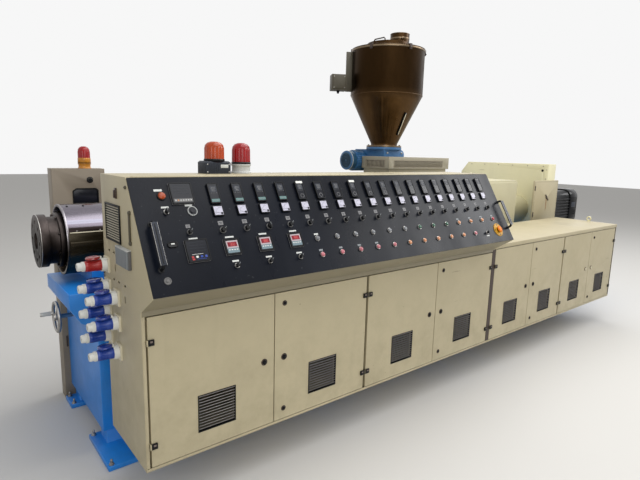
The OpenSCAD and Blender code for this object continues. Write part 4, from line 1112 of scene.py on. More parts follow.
# %% [markdown]
# ## Selector knobs
# Every zone has a rotary switch: a collar, a waist and a winged grip with a pale pointer line. The
# grips of a row never point exactly the same way, so each is turned by a small seeded amount. A
# grey engraved plate sits above every switch of the long row, a white one above the others.
# %% Rotary switches with their plates
GRIP_TURNS = (-45, -40, 0, -50)
turns = random.Random(7)
knobs = Layers("operating_panel")
knob_boxes = node_parts("selector_knobs", slope)
row_height = sorted(middle(box).y for box in knob_boxes)[len(knob_boxes) // 2]
for box in knob_boxes:
    radius, tall = (box[1].x - box[0].x) / 2, box[1].z
    spot = on_slope(box)
    in_row = abs(middle(box).y - row_height) < 0.01
    turned(knobs["row_collars" if in_row else "collars"], spot,
           [(radius, -0.0005), (radius, 0.003), (radius * 0.9, 0.005), (0, 0.005)])
    turned(knobs["grips"], spot, [(radius * 0.74, 0.004), (radius * 0.7, tall * 0.75),
                                  (radius * 0.6, tall * 0.82), (0, tall * 0.82)])
    grip = spun(spot, radians(turns.choice(GRIP_TURNS)))
    prism(knobs["grips"], grip, rounded(radius * 0.6, radius * 1.9, radius * 0.25, 3), (0.005, tall - 0.0004))
    block(knobs["pointers"], grip, across(0.0018), (radius * 0.15, radius * 0.9), (tall - 0.001, tall))
    if in_row:
        tag(knobs["plates"], spot, -radius * 0.15, radius * 2.2, radius * 1.55, radius * 1.25, 0.0008)
        for y, width in ((2.35, 1.0), (1.95, 0.6)):
            tag(knobs["plate_marks"], shifted(spot, 0, 0, 0.0008), -radius * 0.15, radius * y,
                radius * width, radius * 0.16, 0.0003)
    else:
        above = -1 if middle(box).x > panel_long / 2 else 1
        tag(knobs["tags"], spot, -radius * 0.1, above * radius * 1.75, radius * 2.6, radius * 0.62, 0.0008)
knobs.publish(
    "selector", 0.0, "selector_knobs", collars=bare_steel, row_collars=(hood_grey, "bare_steel"),
    grips=black_plastic, pointers=(instrument_grey, "white_plastic"), plates=plate_grey,
    plate_marks=dark_grey_plastic, tags=label_paper)

# %% [markdown]
# ## Push buttons
# Two rows of lit buttons run along the lower half. The caps change colour along the row: pale, then
# green, orange and red above, and pink to orange below. A cap is a shallow dome in a bright ring.
# %% Lit push buttons
LAMPS_LEFT_OF = 0.3
UPPER_ROW = 0.24
buttons = Layers("operating_panel")
rows = {"upper": [], "lower": [], "lamps": []}
for box in node_parts("push_buttons", slope):
    upper = middle(box).y > panel_high * UPPER_ROW
    rows["lamps" if middle(box).x < LAMPS_LEFT_OF else "upper" if upper else "lower"].append(box)


def cap_colour(row, k):
    """The colour layer of the k-th button in a row."""
    if row == "lamps":
        return "lamp_caps"
    if row == "upper":
        return "clear_caps" if k < 6 else "green_caps" if k < 9 else "orange_caps" if k < 12 else "red_caps"
    return "pink_caps" if k < 5 or k == 10 else "orange_caps"


for row, boxes in rows.items():
    for k, box in enumerate(boxes):
        radius, tall = (box[1].x - box[0].x) / 2, box[1].z
        spot = on_slope(box)
        turned(buttons["dark_rings" if row == "lamps" else "rings"], spot,
               [(radius, -0.0005), (radius, 0.0035), (radius * 0.94, 0.005), (radius * 0.82, 0.005),
                (radius * 0.82, 0.004)])
        turned(buttons[cap_colour(row, k)], spot,
               [(radius * 0.8, 0.003), (radius * 0.79, tall * 0.7), (radius * 0.64, tall * 0.9),
                (radius * 0.38, tall * 0.98), (0, tall)])
        if (row == "lower" and k < 4) or (row == "upper" and k > 8):
            tag(buttons["plates"], spot, 0, radius * 1.7, radius * 1.6, radius * 0.62, 0.0008)
        if row == "lamps":
            tag(buttons["tags"], spot, -radius * 0.5, radius * 1.4, radius * 1.8, radius * 0.5, 0.0008)
        if row == "upper" and k == 0:
            tag(buttons["tags"], spot, 0, radius * 1.6, radius * 1.8, radius * 0.56, 0.0008)
buttons.publish(
    "button", 0.0, "push_buttons", rings=bare_steel, orange_caps=button_orange, dark_rings=black_plastic,
    lamp_caps=lamp_orange, clear_caps=button_clear, green_caps=button_green, red_caps=button_red,
    pink_caps=button_pink, plates=instrument_grey, tags=label_paper)

# %% [markdown]
# ## Recorders, speed displays and dial
# Two large square units stand at the left end: the upper one has a row of small keys at its foot,
# the lower one red, white and blue keys. Beside them three speed displays show red figures above
# their keys, a round dial with a pale ring sits between the recorders, and a wide oval latch lies
# beside the lower one.
# %% Square units, speed displays, latch and dial
units = Layers("operating_panel")
RECORDER_SIDE = 0.09
DISPLAY_SIDE = 0.06
LATCH_SIDE = 0.03


def painted_edge_highlights(spot, side):
    """A painted highlight: the thin light line that a housing shows along its left and lower edge."""
    tag(units["edges"], spot, -side / 2 - 0.0006, 0, 0.0012, side, 0.0016)
    tag(units["edges"], spot, 0, -side / 2 - 0.0006, side, 0.0012, 0.0016)


def key(layer, face, side, x, y, width, height, raise_by):
    """A flat key whose place and size are shares of the unit's side."""
    tag(units[layer], face, x * side, y * side, width * side, height * side, raise_by)


def recorder(spot, face, side, tall, upper):
    """A large square unit with lines on its face and keys below."""
    bezel(units["housings"], spot, side, side, 0.004, tall, FACE_RECESS)
    painted_edge_highlights(spot, side)
    tag(units["faces"], face, 0, 0, side - 0.009, side - 0.009, 0.0004)
    for j in range(4):
        tag(units["lines"], face, 0, side * (0.36 - 0.13 * j), side * 0.72, 0.0008, 0.0008)
    if upper:
        key("keyboards", face, side, 0, -0.34, 0.84, 0.16, 0.0008)
        for j in range(7):
            layer = "orange_keys" if j == 1 else "grey_keys"
            key(layer, face, side, (j - 3) * 0.115, -0.34, 0.06, 0.06, 0.0014)
        return
    tag(units["white_keys"], face, -side * 0.06, -side * 0.17, side * 0.5, 0.0012, 0.0008)
    for j, layer in enumerate(("red_keys", "white_keys", "blue_keys", "blue_keys")):
        key(layer, face, side, (j - 1.5) * 0.2, -0.29, 0.1, 0.09, 0.0014)
    key("red_keys", face, side, -0.28, -0.39, 0.12, 0.07, 0.0014)
    key("blue_keys", face, side, 0.1, -0.39, 0.4, 0.015, 0.0014)
    tag(units["tags"], spot, -side * 0.05, side * 0.56, side * 0.4, 0.007, 0.0008)


def speed_display(spot, face, side, tall):
    """A smaller unit with red figures above four keys."""
    bezel(units["housings"], spot, side, side, 0.003, tall, 0.0015)
    painted_edge_highlights(spot, side)
    key("display_faces", face, side, 0, 0.14, 0.76, 0.46, 0.0010)
    key("red_windows", face, side, 0, 0.14, 0.6, 0.28, 0.0016)
    digits(units["figures"], shifted(face, 0, 0, 0.0016), "380", side * 0.14, side * 0.16)
    key("teal_keys", face, side, 0, -0.24, 0.76, 0.3, 0.0010)
    for j in range(4):
        key("white_keys", face, side, (j - 1.5) * 0.17, -0.2, 0.1, 0.05, 0.0015)
    tag(units["tags"], spot, 0, side * 0.64, side * 0.56, 0.007, 0.0008)


def oval_latch(spot, wide, deep, tall):
    """A flat oval whose middle is sunk."""
    loft(units["housings"], spot, [
        (rounded(wide * across_wide, deep * across_deep, deep * corner, 8), height)
        for across_wide, across_deep, corner, height in (
            (1, 1, 0.48, -0.0002), (0.98, 0.96, 0.46, tall * 0.8), (0.88, 0.84, 0.4, tall),
            (0.7, 0.6, 0.28, tall * 0.6))])
    tag(units["tags"], shifted(spot, 0, 0, tall * 0.6), 0, deep * 0.1, wide * 0.34, deep * 0.2, 0.0012)


def dial(spot, radius, tall):
    """A pale ring round a dark knob, with ten strokes."""
    turned(units["faces"], spot, [(radius * 0.86, -0.0005), (radius * 0.84, tall * 0.5), (0, tall * 0.5)], 32)
    hoop(units["pale_faces"], spot,
         [(radius, -0.0004), (radius, tall * 0.6), (radius * 0.9, tall * 0.7),
          (radius * 0.86, tall * 0.55), (radius * 0.86, -0.0004)], 32)
    turned(units["faces"], spot, [(radius * 0.5, 0.002), (radius * 0.45, tall), (0, tall)])
    tag(units["tags"], spot, -radius * 0.5, radius * 1.3, radius * 1.5, radius * 0.4, 0.0008)
    for j in range(10):
        block(units["lines"], spun(spot, radians(225 - j * 30)), (radius * 0.62, radius * 0.76),
              across(0.0008), (0.002, tall * 0.6))


for low, high in node_parts("display_units", slope):
    side, tall = high.x - low.x, high.z
    spot = on_slope((low, high))
    face = shifted(spot, 0, 0, tall - FACE_RECESS)
    if side > RECORDER_SIDE:
        recorder(spot, face, side, tall, (low.y + high.y) / 2 > panel_high / 2)
    elif side > DISPLAY_SIDE:
        speed_display(spot, face, side, tall)
    elif side < LATCH_SIDE:
        oval_latch(spot, high.y - low.y, side, tall)
    else:
        dial(spot, side / 2, tall)
units.publish(
    "unit", 0.0, "display_units", housings=(black_plastic, "instrument_grey"), faces=glass_dark,
    lines=dark_grey_plastic, keyboards=hood_grey, grey_keys=pale_grey_plastic, white_keys=white_plastic,
    orange_keys=button_orange, red_keys=plug_red, blue_keys=plug_blue, tags=label_paper,
    pale_faces=pale_grey_plastic, display_faces=display_face, edges=plate_grey, red_windows=display_red,
    figures=figure_red, teal_keys=key_blue_grey)

# %% [markdown]
# ## Emergency stop, panel locks and handles
# The stop is a wide yellow disc with a brown ring and an orange mushroom. A round lock holds the panel
# shut, and two bow handles lift it. A handle is a rod swept round two tight bends, with a foot
# washer at each end and a flat bar as its grip; a thin light rod along each edge of the bar paints the
# edge's highlight.
# %% Stop, locks and handles
stop = Layers("operating_panel")
stop_box = node_parts("emergency_stop", slope)[0]
stop_spot = on_slope(stop_box)
disc_r = (stop_box[1].x - stop_box[0].x) / 2
stop_h = stop_box[1].z
turned(stop["discs"], stop_spot, [(disc_r, -0.0005), (disc_r, 0.003), (disc_r * 0.97, 0.004), (0, 0.004)], 40)
turned(stop["stems"], stop_spot, [(disc_r * 0.36, 0.003), (disc_r * 0.36, stop_h * 0.6), (0, stop_h * 0.6)])
turned(stop["mushrooms"], stop_spot,
       [(disc_r * 0.3, stop_h * 0.55), (disc_r * 0.5, stop_h * 0.6), (disc_r * 0.52, stop_h * 0.8),
        (disc_r * 0.42, stop_h * 0.95), (disc_r * 0.2, stop_h), (0, stop_h)], 32)
hoop(stop["arrows"], stop_spot, band(disc_r * 0.86, disc_r * 0.9, 0.0035, 0.0044))
for along in spokes(stop_spot, 4):
    block(stop["arrows"], along, (disc_r * 0.66, disc_r * 0.84), across(0.008), (0.0035, 0.0046))
stop.publish("stop", 0.0004, "emergency_stop", discs=stop_yellow, stems=black_plastic, mushrooms=stop_red,
             arrows=brown_iron)

LOCK_PLACE = (0.068, 0.060)
latches = Layers("operating_panel")
lock_spot = shifted(slope, *LOCK_PLACE)
turned(latches["barrels"], lock_spot, [(0.015, -0.0002), (0.015, 0.002), (0.0135, 0.003), (0.011, 0.003),
                                       (0.011, 0.0015), (0, 0.0015)], 32)
turned(latches["barrels"], lock_spot, [(0.007, 0.001), (0.0065, 0.0035), (0, 0.0035)])
latches.publish("lock", 0.0002, barrels=(hood_grey, "bare_steel"))

BOW_CORNER = 0.016
BOW_STEPS = 6
BAR_HALF = 0.0115
BAR_END = 0.006


def bow(mesh, spot, low, high, tall, radius):
    """A handle rod from low to high along the slope, standing tall above the panel."""
    reach = tall - radius - BOW_CORNER
    bend = [pi / 2 * k / BOW_STEPS for k in range(BOW_STEPS + 1)]
    points = [(low, -0.0003), (low, reach)]
    points += [(low + BOW_CORNER * (1 - cos(a)), reach + BOW_CORNER * sin(a)) for a in bend[1:]]
    points += [(high - BOW_CORNER * (1 - sin(a)), reach + BOW_CORNER * cos(a)) for a in bend]
    points.append((high, -0.0003))
    sweep(mesh, [spot @ Vector((0, y, z)) for y, z in points], radius, 14)


handles = Layers("operating_panel")
for box in node_parts("panel_handles", slope):
    radius, tall = (box[1].x - box[0].x) / 2, box[1].z
    spot = shifted(slope, middle(box).x, 0)
    low, high = box[0].y + radius, box[1].y - radius
    grip = (low + BAR_END, high - BAR_END)
    bow(handles["bows"], spot, low, high, tall, radius)
    block(handles["bars"], spot, (-BAR_HALF, BAR_HALF), grip, (tall - 0.009, tall - 0.0006))
    # Thin light rods along the bar's edges paint its edge highlights.
    for edge in (-BAR_HALF, BAR_HALF):
        sweep(handles["lines"], [spot @ Vector((edge, y, tall - 0.0022)) for y in grip], 0.0013, 8)
    for end in (low, high):
        turned(handles["feet"], shifted(spot, 0, end),
               [(radius * 1.7, -0.0002), (radius * 1.7, 0.0015), (radius * 1.4, 0.003), (0, 0.003)])
handles.publish("handle", 0.0, "panel_handles", bows=black_plastic, bars=bar_metal, lines=bare_steel,
                feet=black_plastic)

# %% [markdown]
# ## The console's left side
# A louvre, a hasp, a lid stay, a bolt and a ribbed connector hood are screwed to the side wall. Each
# is one solid of its node, and its proportions tell which one it is. A frame whose Z axis points
# out of the wall lets the helpers that drew the instruments draw these fittings too.
# %% Frames on the four upright sides


def on_left(x, y, z):
    """A frame on a face that looks towards the die end: X towards the operator, Y up, Z out."""
    return facing((x, y, z), (0, -1, 0), (0, 0, 1))


def on_front(x, y, z):
    """A frame on a face that looks towards the operator: X along the machine, Y up, Z out."""
    return facing((x, y, z), (1, 0, 0), (0, 0, 1))


def on_back(x, y, z):
    """A frame on a face that looks away from the operator: Y up, Z out."""
    return facing((x, y, z), (-1, 0, 0), (0, 0, 1))


def on_right(x, y, z):
    """A frame on a face that looks towards the motor end: Y up, Z out."""
    return facing((x, y, z), (0, 1, 0), (0, 0, 1))


# %% [markdown]
# The louvre is a flat frame with fourteen thin fins that lean steeply, and a dark sheet behind them
# that paints the shade in its openings. The hood has nine upright ribs and a pale top. The stay is a rod
# between two eyes.
# %% Louvre, hasp, stay and hood
LOUVRE_FINS = 14
LOUVRE_RIM = 0.007
LOUVRE_LEAN = radians(62)
HOOD_RIBS = 9
STAY_END = 0.009
wall_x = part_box("cabinet_left_side")[0].x
side = Layers("machine")
for box in node_parts("side_fittings"):
    size = box[1] - box[0]
    wide, tall = size.y / 2, size.z / 2
    out = wall_x - box[0].x
    spot = on_left(wall_x, middle(box).y, middle(box).z)
    inside = (LOUVRE_RIM - wide, wide - LOUVRE_RIM)
    if size.y > 0.18:
        rim_of(side["louvre_frames"], spot, (-wide, wide), (-tall, tall), LOUVRE_RIM, (-0.0002, out))
        # A dark sheet behind the fins paints the shade in the louvre's openings.
        block(side["louvre_backs"], spot, inside, (LOUVRE_RIM - tall, tall - LOUVRE_RIM), (-0.0002, 0.0006))
        pitch = 2 * (tall - LOUVRE_RIM) / LOUVRE_FINS
        lean = spun(shifted(spot, 0, LOUVRE_RIM - tall + pitch / 2, 0.003), LOUVRE_LEAN, "X")
        add_row(side["louvre_fins"], LOUVRE_FINS, (0, 0, pitch), feeder_paint, block, lean, inside,
                across(0.0012), across(0.0054))
    elif size.y > 0.1:
        block(side["hood_bodies"], spot, (-wide, wide), (-tall, tall - 0.004), (-0.0002, out - 0.006))
        block(side["hood_tops"], spot, (-wide, wide), (tall - 0.006, tall), (-0.0002, out))
        pitch = size.y / HOOD_RIBS
        add_row(side["hood_ribs"], HOOD_RIBS, (0, -pitch, 0), instrument_grey, block, spot,
                (pitch * 0.15 - wide, pitch * 0.7 - wide), (0.003 - tall, tall - 0.0055), (out - 0.007, out))
    elif tall > 0.05:
        ends = (STAY_END - tall, tall - STAY_END)
        sweep(side["stays"], [spot @ Vector((0, end, out - 0.0055)) for end in ends], 0.0045)
        for end in ends:
            turned(side["stays"], shifted(spot, 0, end),
                   [(STAY_END, -0.0003), (STAY_END, out * 0.5), (0.006, out * 0.9), (0, out)], 16)
    elif tall > 0.015:
        block(side["hasps"], spot, (-wide, wide), (-tall, tall), (-0.0002, out * 0.5))
        block(side["hasps"], spot, across(wide * 0.9), (-tall * 0.85, tall * 0.6), (out * 0.4, out))
        for end in (-tall * 0.76, tall * 0.76):
            screw(side["bolts"], shifted(spot, 0, end, out * 0.5), 0.003, 0.0016)
    else:
        turned(side["stays"], spot,
               [(wide, -0.0003), (wide, out * 0.5), (wide * 0.7, out * 0.7), (0, out)], 16)
side.publish(
    "side", 0.0004, "side_fittings", louvre_frames=black_plastic, louvre_backs=rubber_black,
    louvre_fins=feeder_paint, hood_bodies=hood_grey, hood_tops=pale_grey_plastic,
    hood_ribs=instrument_grey, stays=(olive_paint_and_gap_shade, "dark_iron"), hasps=brown_iron, bolts=bare_steel)

# %% [markdown]
# ## Sockets and plugs
# Seven plugs sit in sockets on the side wall. A socket is a square white flange with four screws, a
# round white collar and a domed lid that lies open on top of the plug, drooping a
# little. A plug is a turned body with finger ribs, a white gland nut and a rubber mouth where its
# cable would start. The top one is red, the others are blue.
# %% Sockets with their lids, and plugs
SOCKET_COLLAR = 0.031
SOCKET_OUT = 0.030
LID_DROOP = radians(4)
PLUG_RIBS = 14
sockets = Layers("machine")
plugs = Layers("machine")
plug_boxes = node_parts("plugs")
socket_side = max(box[1].y - box[0].y for box in node_parts("power_sockets"))
red_height = max(middle(box).z for box in plug_boxes)
for box in plug_boxes:
    centre = middle(box)
    spot = on_left(wall_x, centre.y, centre.z)
    tone = "red" if centre.z > red_height - 0.01 else "blue"
    edge = rounded(socket_side, socket_side, 0.009, 4)
    inner_edge = rounded(socket_side - 0.004, socket_side - 0.004, 0.007, 4)
    loft(sockets["flanges"], spot, [(edge, -0.0002), (edge, 0.006), (inner_edge, 0.008)])
    corner_screws(sockets["screws"], spot, socket_side * 0.4, socket_side * 0.4, 0.008, 0.0036, 0.0016)
    turned(sockets["collars"], spot, [(SOCKET_COLLAR, 0.006), (SOCKET_COLLAR, 0.0275), (0.0295, SOCKET_OUT),
                                      (0.0262, SOCKET_OUT), (0.0262, 0.012), (0, 0.012)], 32)
    outwards = (-cos(LID_DROOP), 0, -sin(LID_DROOP))
    lid = facing((wall_x - SOCKET_OUT, centre.y, centre.z + SOCKET_COLLAR + 0.0025), outwards, (0, -1, 0))
    cap = shifted(lid, SOCKET_COLLAR + 0.001, 0)
    turned(sockets[tone + "_lids"], cap,
           [(SOCKET_COLLAR, 0.0005), (SOCKET_COLLAR, 0.0062), (0.0296, 0.0080), (0.022, 0.0104),
            (0.012, 0.0113), (0, 0.0115)], 36)
    turned(sockets["collars"], cap, [(0.0272, 0), (0.0272, 0.001), (0, 0.001)], 32)
    block(sockets["collars"], lid, (-0.004, 0.008), across(0.016), (-0.0045, 0.0062))
    radius = (box[1].y - box[0].y) / 2
    length = wall_x - box[0].x
    turned(plugs[tone + "_bodies"], spot, [(radius * share, height) for share, height in (
        (0.98, 0.0085), (1, 0.034), (1, 0.050), (0.9, 0.056), (0.88, 0.078), (0.96, 0.086), (0.94, 0.092),
        (0.8, 0.1), (0, 0.1))], 36)
    turned(plugs["glands"], spot, [
        (0.0215, 0.098), (0.0215, 0.110), (0.019, 0.112), (0.0185, length - 0.003), (0.016, length),
        (0.0105, length), (0.0105, length - 0.012), (0, length - 0.012)], 28)
    turned(plugs["mouths"], spot,
           [(0.0103, length - 0.013), (0.0103, length - 0.004), (0, length - 0.004)], 20)
    for along in spokes(spot, PLUG_RIBS):
        block(plugs[tone + "_bodies"], along, (radius * 0.86, radius * 0.95), across(0.0032), (0.055, 0.083))
        block(plugs["glands"], along, (0.0205, 0.0222), across(0.0026), (0.099, 0.110))
sockets.publish("socket", 0.0, "power_sockets", flanges=lock_cream, screws=bare_steel,
                collars=white_plastic, red_lids=lid_red, blue_lids=lid_blue)
plugs.publish("plug", 0.0, "plugs", red_bodies=plug_red, blue_bodies=plug_blue, glands=white_plastic,
              mouths=rubber_black)

# %% [markdown]
# ## Beacons
# Three warning lights: an orange lens on a dark box, a red one on a pale round foot, and a small one
# behind the barrel. A lens is fluted, which a turned form does by pulling every other corner in.
# %% Beacon bases and lenses
FLUTES = 24
FLUTE_DEPTH = 0.045
REAR_RADIUS = 0.045
beacons = Layers("machine")
lenses = Layers("machine")


def fluted(mesh, place, outline):
    """A turned form whose every other corner is pulled in a little."""
    before = len(mesh.verts)
    turned(mesh, place, outline, 2 * FLUTES)
    mesh.verts.ensure_lookup_table()
    inverse = place.inverted()
    for vertex in mesh.verts[before:]:
        spot = inverse @ vertex.co
        if round(atan2(spot.y, spot.x) / (tau / (2 * FLUTES))) % 2:
            vertex.co = place @ Vector((spot.x * (1 - FLUTE_DEPTH), spot.y * (1 - FLUTE_DEPTH), spot.z))


for box in node_parts("beacon_bases"):
    size = box[1] - box[0]
    centre = middle(box)
    foot = at(centre.x, centre.y, box[0].z)
    if size.x - size.y > 0.02:
        outer = rounded(size.x, size.y, 0.006, 3)
        inner = rounded(size.x - 0.016, size.y - 0.016, 0.004, 3)
        loft(beacons["boxes"], foot, [(outer, -0.0002), (outer, size.z * 0.88), (inner, size.z)])
        front = on_front(centre.x, box[0].y, centre.z)
        tag(beacons["labels"], front, size.x * 0.24, size.z * 0.1, size.x * 0.3, size.z * 0.26)
        for k in range(5):
            tag(beacons["boxes"], front, size.x * (0.08 * k - 0.32), 0, 0.003, size.z * 0.6, 0.0014)
        for x in (-size.x * 0.42, size.x * 0.42):
            for y in (size.z * 0.24, -size.z * 0.36):
                screw(beacons["screws"], shifted(front, x, y), 0.0035, 0.002)
    else:
        radius = size.x / 2
        turned(beacons["rear_feet" if radius < REAR_RADIUS else "round_feet"], foot, [
            (radius, -0.0002), (radius, size.z * 0.14), (radius * 0.92, size.z * 0.22),
            (radius * 0.9, size.z * 0.78), (radius * 0.99, size.z * 0.84), (radius * 0.99, size.z),
            (0, size.z)], 40)
for box in node_parts("beacon_domes"):
    radius, tall = (box[1].x - box[0].x) / 2, box[1].z - box[0].z
    foot = at(middle(box).x, middle(box).y, box[0].z)
    if radius < REAR_RADIUS:
        turned(beacons["amber_feet"], foot,
               [(radius, 0.0003), (radius, tall * 0.3), (radius * 0.9, tall * 0.34), (0, tall * 0.34)], 40)
    fluted(lenses["orange" if radius > 0.051 else "red"], foot, [
        (radius * 0.95, 0.0003), (radius * 0.94, tall * 0.66), (radius * 0.86, tall * 0.82),
        (radius * 0.66, tall * 0.93), (radius * 0.34, tall * 0.99), (0, tall)])
    hoop(beacons["collars"], foot, [(radius * 0.9, 0.0002), (radius, 0.0002), (radius, 0.008),
                                    (radius * 0.95, 0.011), (radius * 0.9, 0.011)])
beacons.publish(
    "beacon", 0.0003, "beacon_bases", boxes=(dark_grey_plastic, "black_plastic"), labels=label_paper,
    screws=bare_steel, round_feet=pale_grey_plastic, rear_feet=lens_amber, amber_feet=lens_amber,
    collars=black_plastic)
lenses.publish("lens", 0.0, "beacon_domes", orange=lens_orange, red=lens_red)

# %% [markdown]
# ## Barrel, die flange and their carriers
# The polished cover is turned anew with 96 sides, so that its highlights run straight: an open mouth
# round the die flange, rolled rings on the ends, narrow straps, a pale seam with screws and two dark
# screws on top. The die flange gets its bright edge and hexagon bolts on the back disc. Bands of
# height in the metals paint the reflected streak along the cover and the shade on its underside and
# on the die flange's lower half.
# %% Barrel cover and die flange
dress("die_flange", dark_iron, 0.003)
dress("barrel_supports", frame_blue, 0.003)
COVER_WALL = 0.012
COVER_MOUTH = 0.110
COVER_SIDES = 96
ROLL = 0.010
STRAPS = 3
SEAM_ANGLE = radians(72)
SEAM_SCREWS = 20
FLANGE_BOLTS = 8
cover_low, cover_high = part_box("barrel_cover")
cover_r = cover_high.z - axis_height
tube_r = cover_r - 0.002
tube_length = cover_high.x - cover_low.x
barrel = Layers("machine")


def round_barrel(x):
    """A frame on the barrel's axis whose Z axis points towards the die end."""
    return on_left(x, barrel_axis.y, axis_height)


def on_cover(x, angle):
    """A frame on the barrel cover's skin, turned from the top towards the operator."""
    return shifted(spun(at(x, barrel_axis.y, axis_height), angle, "X"), 0, 0, tube_r)


turned(barrel["skin"], round_barrel(cover_low.x), [
    (0, -COVER_MOUTH), (tube_r - COVER_WALL, -COVER_MOUTH), (tube_r - COVER_WALL, -0.0005),
    (tube_r - 0.001, -0.0005), (tube_r, -0.002), (tube_r, 0.002 - tube_length),
    (0, 0.002 - tube_length)], COVER_SIDES)
ring = [(tube_r - 0.006, -ROLL), (tube_r + 0.0012, -ROLL), (cover_r, -0.7 * ROLL), (cover_r, -0.3 * ROLL),
        (tube_r + 0.0012, 0), (tube_r - 0.006, 0)]
for x in (cover_low.x, cover_high.x - ROLL):
    hoop(barrel["end_rings"], round_barrel(x), ring, COVER_SIDES)
for k in range(STRAPS):
    x = cover_low.x + (k + 1) * tube_length / (STRAPS + 1)
    hoop(barrel["straps"], round_barrel(x), band(tube_r - 0.004, tube_r + 0.0006, -0.01, 0.01), COVER_SIDES)
seam_edge = on_cover(cover_low.x, SEAM_ANGLE)
block(barrel["seams"], seam_edge, (0.016, tube_length - 0.016), across(0.0044), (-0.003, 0.0016))
block(barrel["seam_strips"], on_front(cover_low.x, barrel_axis.y - tube_r, axis_height),
      (0.014, tube_length - 0.014), across(0.024), (-0.008, 0.0036))
add_row(barrel["screws"], SEAM_SCREWS, ((tube_length - 0.1) / (SEAM_SCREWS - 1), 0, 0), bare_steel,
        screw, shifted(seam_edge, 0.05, 0.008), 0.003, 0.0016)
for x in (0.035, 0.115):
    screw(barrel["dark_screws"], on_cover(cover_low.x + x, radians(16)), 0.006, 0.004)
flange_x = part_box("die_flange")[0].x
flange = node_corners("die_flange")
front_r = max(p.z - axis_height for p in flange if p.x < flange_x + 0.001)
back_x = min(p.x for p in flange if p.z - axis_height > front_r + 0.002)
back_r = max(p.z - axis_height for p in flange)
hoop(barrel["flange_rims"], round_barrel(flange_x), [
    (front_r - 0.004, -0.006), (front_r + 0.0004, -0.006), (front_r + 0.0004, -0.0028),
    (front_r - 0.0016, -0.0006), (front_r - 0.004, -0.0006)], 72)
for along in spokes(round_barrel(back_x), FLANGE_BOLTS, 0.5):
    bolt(barrel["flange_nuts"], shifted(along, 0, back_r - 0.0105), 0.0075, 0.009)
barrel.publish(
    "barrel", 0.0003, "barrel_cover", skin=polished_steel, end_rings=end_steel, straps=polished_steel,
    screws=bare_steel, seams=(lock_cream, "cabinet_paint"), seam_strips=polished_steel,
    dark_screws=black_plastic, flange_rims=bare_steel, flange_nuts=dark_iron)

# %% [markdown]
# ## Base frame, feet and handwheel
# The frame is welded plate in blue paint. Rows of hexagon bolts hold its side plates, and every foot
# is anchored to the floor by four studs with nuts. The handwheel is bare steel with a pale grip.
# %% Frame, feet, arms and handwheel
SIDE_BOLTS = 18
FOOT_PLATE = 0.025
for node, finish, soften in (("base_frame", frame_blue, 0.004), ("frame_feet", frame_blue, 0.003),
                             ("cabinet_arms", frame_blue, 0.003), ("handwheel", bare_steel, 0.001)):
    dress(node, finish, soften)
frame_low, frame_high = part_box("base_frame")
fixings = Layers("machine")
step = (frame_high.x - frame_low.x - 0.3) / (SIDE_BOLTS - 1)
for on_side, y in ((on_front, frame_low.y), (on_back, frame_high.y)):
    for z in (0.045, 0.615):
        add_row(fixings["frame_bolts"], SIDE_BOLTS, (step, 0, 0), bare_steel,
                bolt, on_side(frame_low.x + 0.2, y, frame_low.z + z), 0.009, 0.008)
for box in node_parts("frame_feet"):
    for x in (box[0].x + 0.02, box[1].x - 0.02):
        for y in (box[0].y + 0.02, box[1].y - 0.02):
            bolt(fixings["frame_bolts"], at(x, y, FOOT_PLATE), 0.011, 0.01)
            turned(fixings["frame_bolts"], at(x, y, FOOT_PLATE),
                   [(0.006, 0.008), (0.006, 0.026), (0.005, 0.028), (0, 0.028)], 12)
fixings.publish("fixing", frame_bolts=bare_steel)
grip_box = end_box("handwheel", 0)
wheel = Layers("handwheel")
grip_r = (grip_box[1].z - grip_box[0].z) / 2
turned(wheel["grips"], on_left(grip_box[0].x, middle(grip_box).y, middle(grip_box).z), [
    (grip_r * 0.9, -0.058), (grip_r + 0.0012, -0.05), (grip_r + 0.0006, -0.03), (grip_r + 0.0012, -0.008),
    (grip_r * 0.9, 0.0002), (0, 0.0006)], 24)
wheel.publish("wheel", grips=pale_grey_plastic)

# %% [markdown]
# ## Cabinet behind the barrel
# It keeps its CAD form in dusty paint. A dark pane with a rubber frame fills the chamfered window
# opening, whose outline is read from the mesh, and the button gets a collar.
# %% Rear cabinet
HINGE_HEIGHTS = (0.35, 0.75, 1.15)
dress("rear_cabinet", dusty_paint, 0.003)
rear_low, rear_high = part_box("rear_cabinet")
rear_points = node_corners("rear_cabinet")
rear_y = min(p.y for p in rear_points if p.z < rear_low.z + 0.001)
pane = [p for p in rear_points if 0.004 < p.y - rear_y < 0.008]
pane_middle = middle(box_of(pane))
pane_spot = on_front(pane_middle.x, rear_y, pane_middle.z)
outline = sorted(((p.x - pane_middle.x, p.z - pane_middle.z) for p in pane),
                 key=lambda q: atan2(q[1], q[0]))
rear = Layers("machine")
prism(rear["panes"], pane_spot, [(x * 0.995, z * 0.995) for x, z in outline], (-0.0062, -0.004))
edge_points = [pane_spot @ Vector((x, z, 0)) for x, z in outline]
for ends in zip(edge_points, edge_points[1:] + edge_points[:1]):
    sweep(rear["window_rubbers"], ends, 0.0035, 8)
turned(rear["buttons"], on_front(rear_low.x + 0.21, rear_y, rear_high.z - 0.068), [
    (0.019, -0.0003), (0.019, 0.002), (0.0135, 0.003), (0.0132, 0.009), (0.011, 0.0105), (0, 0.0105)], 28)
for z in HINGE_HEIGHTS:
    block(rear["hinges"], at(rear_low.x, rear_y, rear_low.z + z), (0.0205, 0.03), (-0.004, 0.001), (0, 0.07))
rear.publish("rear", 0.0003, panes=glass_dark, window_rubbers=rubber_black, buttons=black_plastic,
             hinges=brown_iron)

